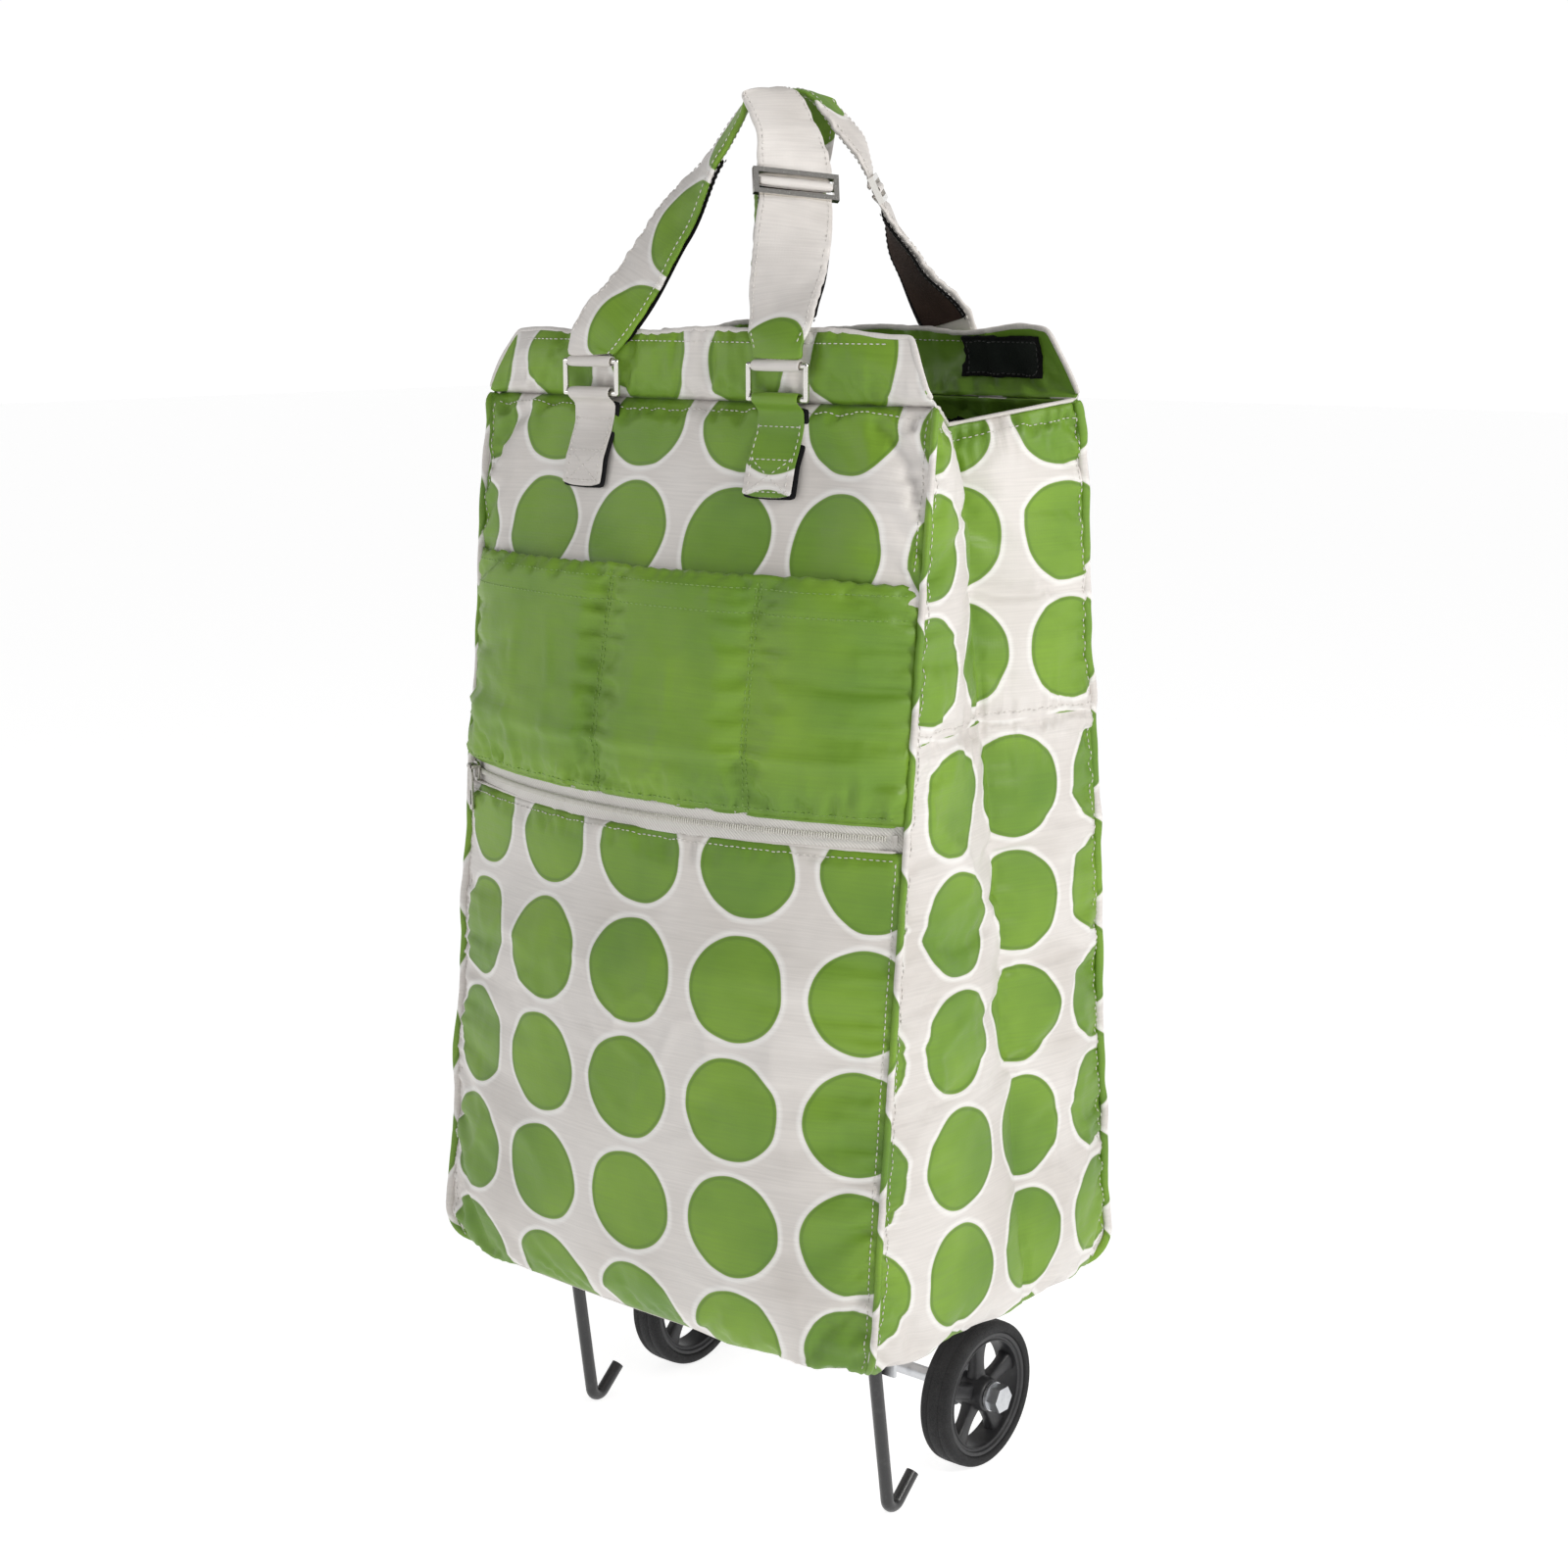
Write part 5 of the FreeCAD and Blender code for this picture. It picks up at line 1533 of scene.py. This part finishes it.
def makeHandle(name, sign, look):
    strapFrames = slideEnd(smoothRoute(strapStations()), False)
    tailFrames = slideEnd(smoothRoute(tailStations()), True)
    seed = 4.0 if sign > 0 else 9.0
    lastFrame = len(strapFrames) - 1

    def wallAt(reach):
        return strap["thinEnd"] + (strap["wall"] - strap["thinEnd"]) * smoothStep(0.002, 0.018, reach)

    def strapWall(k):
        return wallAt((lastFrame - k) * strap["step"])

    def tailWall(k):
        return wallAt(k * strap["step"])

    def band(frames, pucker, width):
        return mirrored(ribbonPart(frames, strap["loopWall"], (0.03, 0.03), pucker, seed, 0.4, sides=20,
                                   width=width), sign)
    long = mirrored(ribbonPart(strapFrames, strapWall, look["strapZero"], strap["pucker"], seed), sign)
    tail = mirrored(ribbonPart(tailFrames, tailWall, look["tailZero"], strap["pucker"], seed + 3.0), sign)
    loopWidth = strap["ringWidth"] - 0.0006
    loops = []
    for side in (-1, 1):
        ringBar = Vector((side * strap["ringX"], strap["ringY"], strap["ringBar"]))
        circle = loopAround(ringBar, Vector((1, 0, 0)), Vector((0, 1, 0)), Vector((0, 0, 1)),
                            lambda a: strap["loopReach"], loopWidth, 14, -math.pi / 2, 0.0024)
        loops.append(band(circle, 0.00012, loopWidth))
    for part, label, node in ((long, "strap", "strap"), (tail, "strap_tail", "tail")):
        obj = clothTube(name + "_" + label + "_cloth", [part], [look[node + "White"]])
        finish(obj, name, "dot_fabric", name + "_" + node)
    finish(tubePiece(name + "_ring_loops", loops, ["white"]), name, "dot_fabric")
    offset = -(strap["wall"] / 2 + strap["tapeWall"] / 2 - 0.0001)
    stretches = [(smoothRoute(strapStations(), 2, 5), 0.0016 * look["tapeShift"]),
                 (smoothRoute(tailStations(), 1, 3), -0.0016 * look["tapeShift"])]
    # the strips' u runs to 1 at both edges, where the nap material paints its shadow line
    strips = [mirrored(ribbonPart(frames, strap["tapeWall"], fullness=0.3, shift=(shift, offset),
                                  share=True, width=strap["tapeWidth"]), sign) for frames, shift in stretches]
    stripPiece = tubePiece(name + "_loop_strips", strips, ["brownNap"])
    finish(stripPiece, name, "hook_and_loop_brown", name + "_tape")
    middle, along, across, normal = slideFrame()

    def slideReach(a):
        return 0.0013 + 0.00075 if abs(math.cos(a)) > abs(math.sin(a)) else 0.0015 + 0.00065
    wrapWidth = strap["width"] - 0.001
    wrap = loopAround(middle, across, along, normal, slideReach, wrapWidth, 12, 0.0, 0.002)
    finish(tubePiece(name + "_slide_wrap", [band(wrap, 0.0001, wrapWidth)], ["white"]), name, "dot_fabric")
    runs, borders = [], []
    share = 0.86
    for frames, wall in ((strapFrames, strapWall), (tailFrames, tailWall)):
        for edge, face in ((-1, -1), (-1, 1), (1, -1), (1, 1)):
            run = []
            for k, (place, side, out, width, distance) in enumerate(frames):
                lift = wall(k) / 2 * (1.0 - share ** 2) ** (0.55 / 2) + 0.0001
                spot = place + side * (edge * share * width / 2) + out * (face * lift)
                run.append((spot.x, spot.y * sign, spot.z))
            runs.append(run[3:-3])
    makeRuns(name + "_stitches", runs, name, "dot_fabric", "whiteThread", 0.0031,
             (0.00105, 0.0003, 0.0003), 0.1, 7)
    for frames, shift in stretches:
        for edge in (-1, 1):
            run = []
            for place, side, out, width, distance in frames:
                spot = place + side * (shift + edge * (strap["tapeWidth"] / 2 - 0.0016))
                spot = spot + out * (offset - strap["tapeWall"] / 2)
                run.append((spot.x, spot.y * sign, spot.z))
            borders.append(run)
    makeRuns(name + "_strip_stitches", borders, name, "hook_and_loop_brown", "blackThread", 0.003,
             (0.001, 0.00035, 0.0003), 0.1, 8)


handleLooks = {
    "front_handle": {"sign": 1, "strapZero": (0.018, 0.022), "tailZero": (0.003, 0.093), "tapeShift": 1.0,
                     "strapWhite": [(0.130, 0.5)], "tailWhite": [(-0.5, -0.031)]},
    "back_handle": {"sign": -1, "strapZero": (0.0, 0.152), "tailZero": (0.030, 0.0), "tapeShift": 0.5,
                    "strapWhite": [(0.026, 0.5)], "tailWhite": [(-0.5, 0.5)]},
}
for handleName, handleLook in handleLooks.items():
    makeHandle(handleName, handleLook["sign"], handleLook)
print("strap handles made")


# ring tabs: webbing under a cloth loop that turns over the ring's lower bar
tab = {"width": 0.029, "length": 0.0475, "bar": 0.574, "loop": 0.0029, "wall": 0.0011, "webWall": 0.0008,
       "webWidth": 0.0312, "webShift": 0.0014, "step": 0.0022}


def pathFrames(path, x, width):
    # frames of a ribbon whose path lies in one plane across the bag
    frames = []
    distance = 0.0
    for k, (y, z) in enumerate(path):
        y0, z0 = path[max(k - 1, 0)]
        y1, z1 = path[min(k + 1, len(path) - 1)]
        along = Vector((0.0, y1 - y0, z1 - z0)).normalized()
        across = Vector((1.0, 0.0, 0.0))
        distance += math.hypot(y - path[k - 1][0], z - path[k - 1][1]) if k else 0.0
        frames.append((Vector((x, y, z)), across, across.cross(along), width, distance))
    return frames


def tabBed(grid, sign, x, bottom):
    # the slope across the cloth under a tab, and how far out the cloth stands at each height
    spots = grid.reshape(-1, 3)
    spots = spots[(abs(spots[:, 0] - x) < 0.0175) & (spots[:, 2] > bottom - 0.006)]
    low = spots[spots[:, 2] < tab["bar"] - 0.006]
    slope = float(np.polyfit(low[:, 0] - x, low[:, 1] * sign, 1)[0])
    out = spots[:, 1] * sign - slope * (spots[:, 0] - x)
    heights = np.arange(bottom - 0.002, tab["bar"] + 0.004, 0.002)
    rest = np.array([out[abs(spots[:, 2] - z) < 0.0045].min() for z in heights if z < mouthZ])
    rest = np.convolve(np.pad(rest, 2, mode="edge"), np.ones(5) / 5, mode="valid") - 0.0003
    return slope, heights[:len(rest)], rest


def makeTabs(name, sign, grid, dotted):
    webs, flaps, runs, whites = [], [], [], []
    for side in (-1, 1):
        x = side * strap["ringX"]
        y = strap["ringY"] * sign
        bottom = tab["bar"] - tab["length"]
        slope, heightsUp, rest = tabBed(grid, sign, x, bottom)

        def layerY(z, depth, heightsUp=heightsUp, rest=rest):
            surface = float(np.interp(z, heightsUp, rest))
            planned = strap["ringY"] + depth
            fade = smoothStep(tab["bar"] - 0.034, tab["bar"] - 0.006, z)
            return (surface - (0.0039 - depth) - 0.0003) * (1 - fade) + planned * fade
        heights = np.arange(bottom, tab["bar"] - 0.002, tab["step"])
        webPath = [(layerY(z, 0.0034) * sign, z) for z in heights]
        web = ribbonPart(pathFrames(webPath, x + tab["webShift"], tab["webWidth"]), tab["webWall"],
                         fullness=0.3, width=tab["webWidth"], sides=24)
        flapZ = np.arange(bottom + 0.0005, tab["bar"] - 0.0052, tab["step"])
        flapPath = [((layerY(z, 0.0025) + 0.0002 * noiseAt(z * 160.0, side, sign)) * sign, z) for z in flapZ]
        for k in range(13):
            a = math.radians(250.0 - 300.0 * k / 12)
            flapPath.append((y + sign * tab["loop"] * math.cos(a), tab["bar"] + tab["loop"] * math.sin(a)))
        flap = ribbonPart(pathFrames(flapPath, x, tab["width"]), tab["wall"],
                          (0.001, 0.037 if side > 0 else 9.0), 0.00022, 20.0 + side, 0.35,
                          width=tab["width"], sides=24)
        for rings in (web[0], flap[0]):
            fade = 1.0 - np.clip((rings[..., 2] - tab["bar"] + 0.018) / 0.012, 0.0, 1.0)
            rings[..., 1] += slope * sign * (rings[..., 0] - x) * fade
        for j, ring in enumerate(flap[0][:3]):
            pull = (1.0 - j / 3.0) * 0.0012
            middle = ring.mean(axis=0)
            for point in ring:
                corner = smoothStep(0.6, 1.0, abs(point[0] - middle[0]) / (tab["width"] / 2))
                point[2] += pull * corner
        webs.append(web)
        flaps.append(flap)
        whites.append([(-99.0, 99.0)] if side < 0 and dotted else [])

        def onFlap(u, v, x=x, slope=slope, rings=flap[0]):
            k = min(int(v / tab["step"]), len(rings) - 2)
            t = v / tab["step"] - k
            low, high = rings[k], rings[k + 1]
            lowMiddle, highMiddle = low.mean(axis=0), high.mean(axis=0)
            place = lowMiddle * (1 - t) + highMiddle * t
            fade = 1.0 - min(max((place[2] - tab["bar"] + 0.018) / 0.012, 0.0), 1.0)
            out = place[1] + slope * sign * u * fade - sign * (tab["wall"] / 2 + 0.0001)
            return Vector((x + u, out, place[2]))

        def line(u0, v0, u1, v1):
            count = max(3, int(math.hypot(u1 - u0, v1 - v0) / 0.0015))
            return [onFlap(u0 + (u1 - u0) * k / count, v0 + (v1 - v0) * k / count) for k in range(count + 1)]
        edge, low, high, top = 0.0112, 0.003, 0.0185, 0.034
        corners = [(-edge, low), (edge, low), (edge, high), (-edge, high), (-edge, low)]
        ends = [(*first, *second) for first, second in zip(corners, corners[1:])]
        ends += [(-edge, low, edge, high), (edge, low, -edge, high), (-edge, top, edge, top)]
        ends += [(side * (edge + 0.0012), high, side * (edge + 0.0012), top) for side in (-1, 1)]
        runs += [line(*four) for four in ends]
    finish(tubePiece(name + "_tab_webbing", webs, ["webbing"]), "bag", "hook_and_loop_black")
    finish(clothTube(name + "_tab_cloth", flaps, whites), "bag", "dot_fabric", name + "_tabs")
    stitchRuns["white"] += runs


makeTabs("front", 1, shown["upper_front"], True)
makeTabs("back", -1, shown["back"], False)
print("ring tabs made")


# wheels: tyre, stepped rim, five tapered spokes and boss
wheel = {"middle": 0.105, "y": 0.044, "z": 0.040, "around": 96, "spokes": 5,
         "groove": [(-0.0040, 0.0400), (-0.0036, 0.0396), (-0.0032, 0.0400), (0.0, 0.0400),
                    (0.0032, 0.0400), (0.0036, 0.0396), (0.0040, 0.0400)],
         "rim": [(0.0079, 0.03395), (0.0080, 0.0332), (0.0078, 0.0318), (0.0066, 0.0314), (0.0064, 0.0302),
                 (0.0072, 0.0298), (0.0070, 0.0291), (0.0050, 0.0290)],
         "boss": [(0.0098, 0.0042), (0.0100, 0.0050), (0.0098, 0.0078), (0.0090, 0.0088), (0.0060, 0.0095)]}


def latheRings(profile, middle):
    turns = [2.0 * math.pi * i / wheel["around"] for i in range(wheel["around"])]
    verts = [(middle + x, wheel["y"] + radius * math.cos(a), wheel["z"] + radius * math.sin(a))
             for x, radius in profile for a in turns]
    return verts, ringFaces(len(profile), wheel["around"], True)


def bothFaces(profile):
    # a profile of half a wheel's width, and its mirror image on the inner face
    return profile + [(-x, r) for x, r in profile[::-1]]


def makeSpoke(turn, middle):
    verts = []
    for step in range(9):
        share = step / 8.0
        radius = 0.0080 + (0.0300 - 0.0080) * share
        flare = 0.0030 * share ** 3 + 0.0012 * (1.0 - share) ** 4
        half = 0.0034 + flare
        deep = 0.0044 - 0.0010 * math.sin(math.pi * share)
        for i in range(16):
            a = 2.0 * math.pi * i / 16
            u = math.copysign(abs(math.cos(a)) ** 0.5, math.cos(a)) * half
            w = math.copysign(abs(math.sin(a)) ** 0.5, math.sin(a)) * deep
            verts.append((middle + w, wheel["y"] + radius * math.cos(turn) - u * math.sin(turn),
                          wheel["z"] + radius * math.sin(turn) + u * math.cos(turn)))
    return verts, cappedFaces(9, 16)


def makeWheel(side, sign):
    body = side + "_wheel"
    middle = wheel["middle"] * sign
    shoulder = [math.radians(90.0 * k / 8) for k in range(9)]
    tread = [(0.0062 + 0.0028 * math.sin(a), 0.0370 + 0.0028 * math.cos(a)) for a in shoulder]
    tread += [(0.0090, 0.0352), (0.0084, 0.0341), (0.0070, 0.0340)]
    verts, faces = latheRings(bothFaces(tread) + wheel["groove"], middle)
    uvs = [(verts[v][1], verts[v][2]) for face in faces for v in face]
    obj = addPiece(body + "_tyre_rubber", verts, faces, uvs, ["tyre"], recalculate=True)
    finish(obj, body, "tyre", body + "_tyre")
    shapes = [latheRings(bothFaces(wheel[part]), middle) for part in ("rim", "boss")]
    for k in range(wheel["spokes"]):
        shapes.append(makeSpoke(2.0 * math.pi * k / wheel["spokes"] + math.pi / 2, middle))
    hardPiece(body + "_rim", shapes, "hub", body, "wheel_plastic", [body + "_hub"], 0.0, 0.0004)


makeWheel("left", -1)
makeWheel("right", 1)
print("wheels made")


# stitches beside the bag's seams
def sideRun(grid, column, low, high, lift=0.0001):
    normals = gridNormals(grid)
    return [tuple(grid[j, 2 * column] + normals[j, 2 * column] * lift) for j in range(2 * low, 2 * high)]


def rowRun(grid, row, first, last, lift=0.0001):
    normals = gridNormals(grid)
    return [tuple(grid[2 * row, i] + normals[2 * row, i] * lift) for i in range(2 * first, 2 * last)]


def makeStitches():
    top = len(levels) - 1
    lower, upper, back = shown["lower_front"], shown["upper_front"], shown["back"]
    upperTop = top - zipHighRow
    white = stitchRuns["white"]
    white.append(rowRun(upper, upperTop - 1, 2, frontCells - 1, 0.0003))
    white.append(rowRun(back, top - 1, 2, frontCells - 1, 0.0003))
    white.append(rowRun(lower, zipLowRow - 1, 2, frontCells - 1, 0.0003))
    for side in ("right_side", "left_side"):
        grid = shown[side]
        white.append(rowRun(grid, top - 2, 2, sideCells - 1, 0.0002))
        white.append(rowRun(grid, sideSeamRow + 1, 2, sideCells - 1, 0.0002))
        for column in (1, sideCells - 1):
            white.append(sideRun(grid, column, 2, top - 1, 0.0002))
    for column in (1, frontCells - 1):
        white.append(sideRun(lower, column, 2, zipLowRow - 1, 0.0002))
        white.append(sideRun(upper, column, pocketRow - zipHighRow + 2, upperTop - 1, 0.0002))
        white.append(sideRun(back, column, 2, top - 1, 0.0002))
    for colour, slot, spacing, length, seed in (("white", "dot_fabric", 0.0032, 0.0011, 1),
                                                ("green", "green_fabric", 0.0032, 0.0011, 2),
                                                ("black", "hook_and_loop_black", 0.003, 0.001, 4)):
        makeRuns(colour + "_stitches", stitchRuns[colour], "bag", slot, colour + "Thread", spacing,
                 (length, 0.00032, 0.00028), 0.1, seed)


makeStitches()
print("stitches made")


# finishes of the CAD parts that are shown as they are
cadFinishes = {
    "board": ["base_board"],
    "zinc": ["axle", "axle_washers", "axle_nuts", "left_axle_bracket", "right_axle_bracket", "stand_clips",
             "stand_stops", "rivets"],
    "rod": ["stand"],
    "nickel": ["front_handle_rings", "back_handle_rings", "front_handle_glide", "back_handle_glide"],
    "zipMetal": ["zipper_stops"],
}
for materialName, nodeNames in cadFinishes.items():
    for nodeName in nodeNames:
        cadNodes[nodeName].data.materials.clear()
        cadNodes[nodeName].data.materials.append(materials[materialName])
print("CAD parts painted")
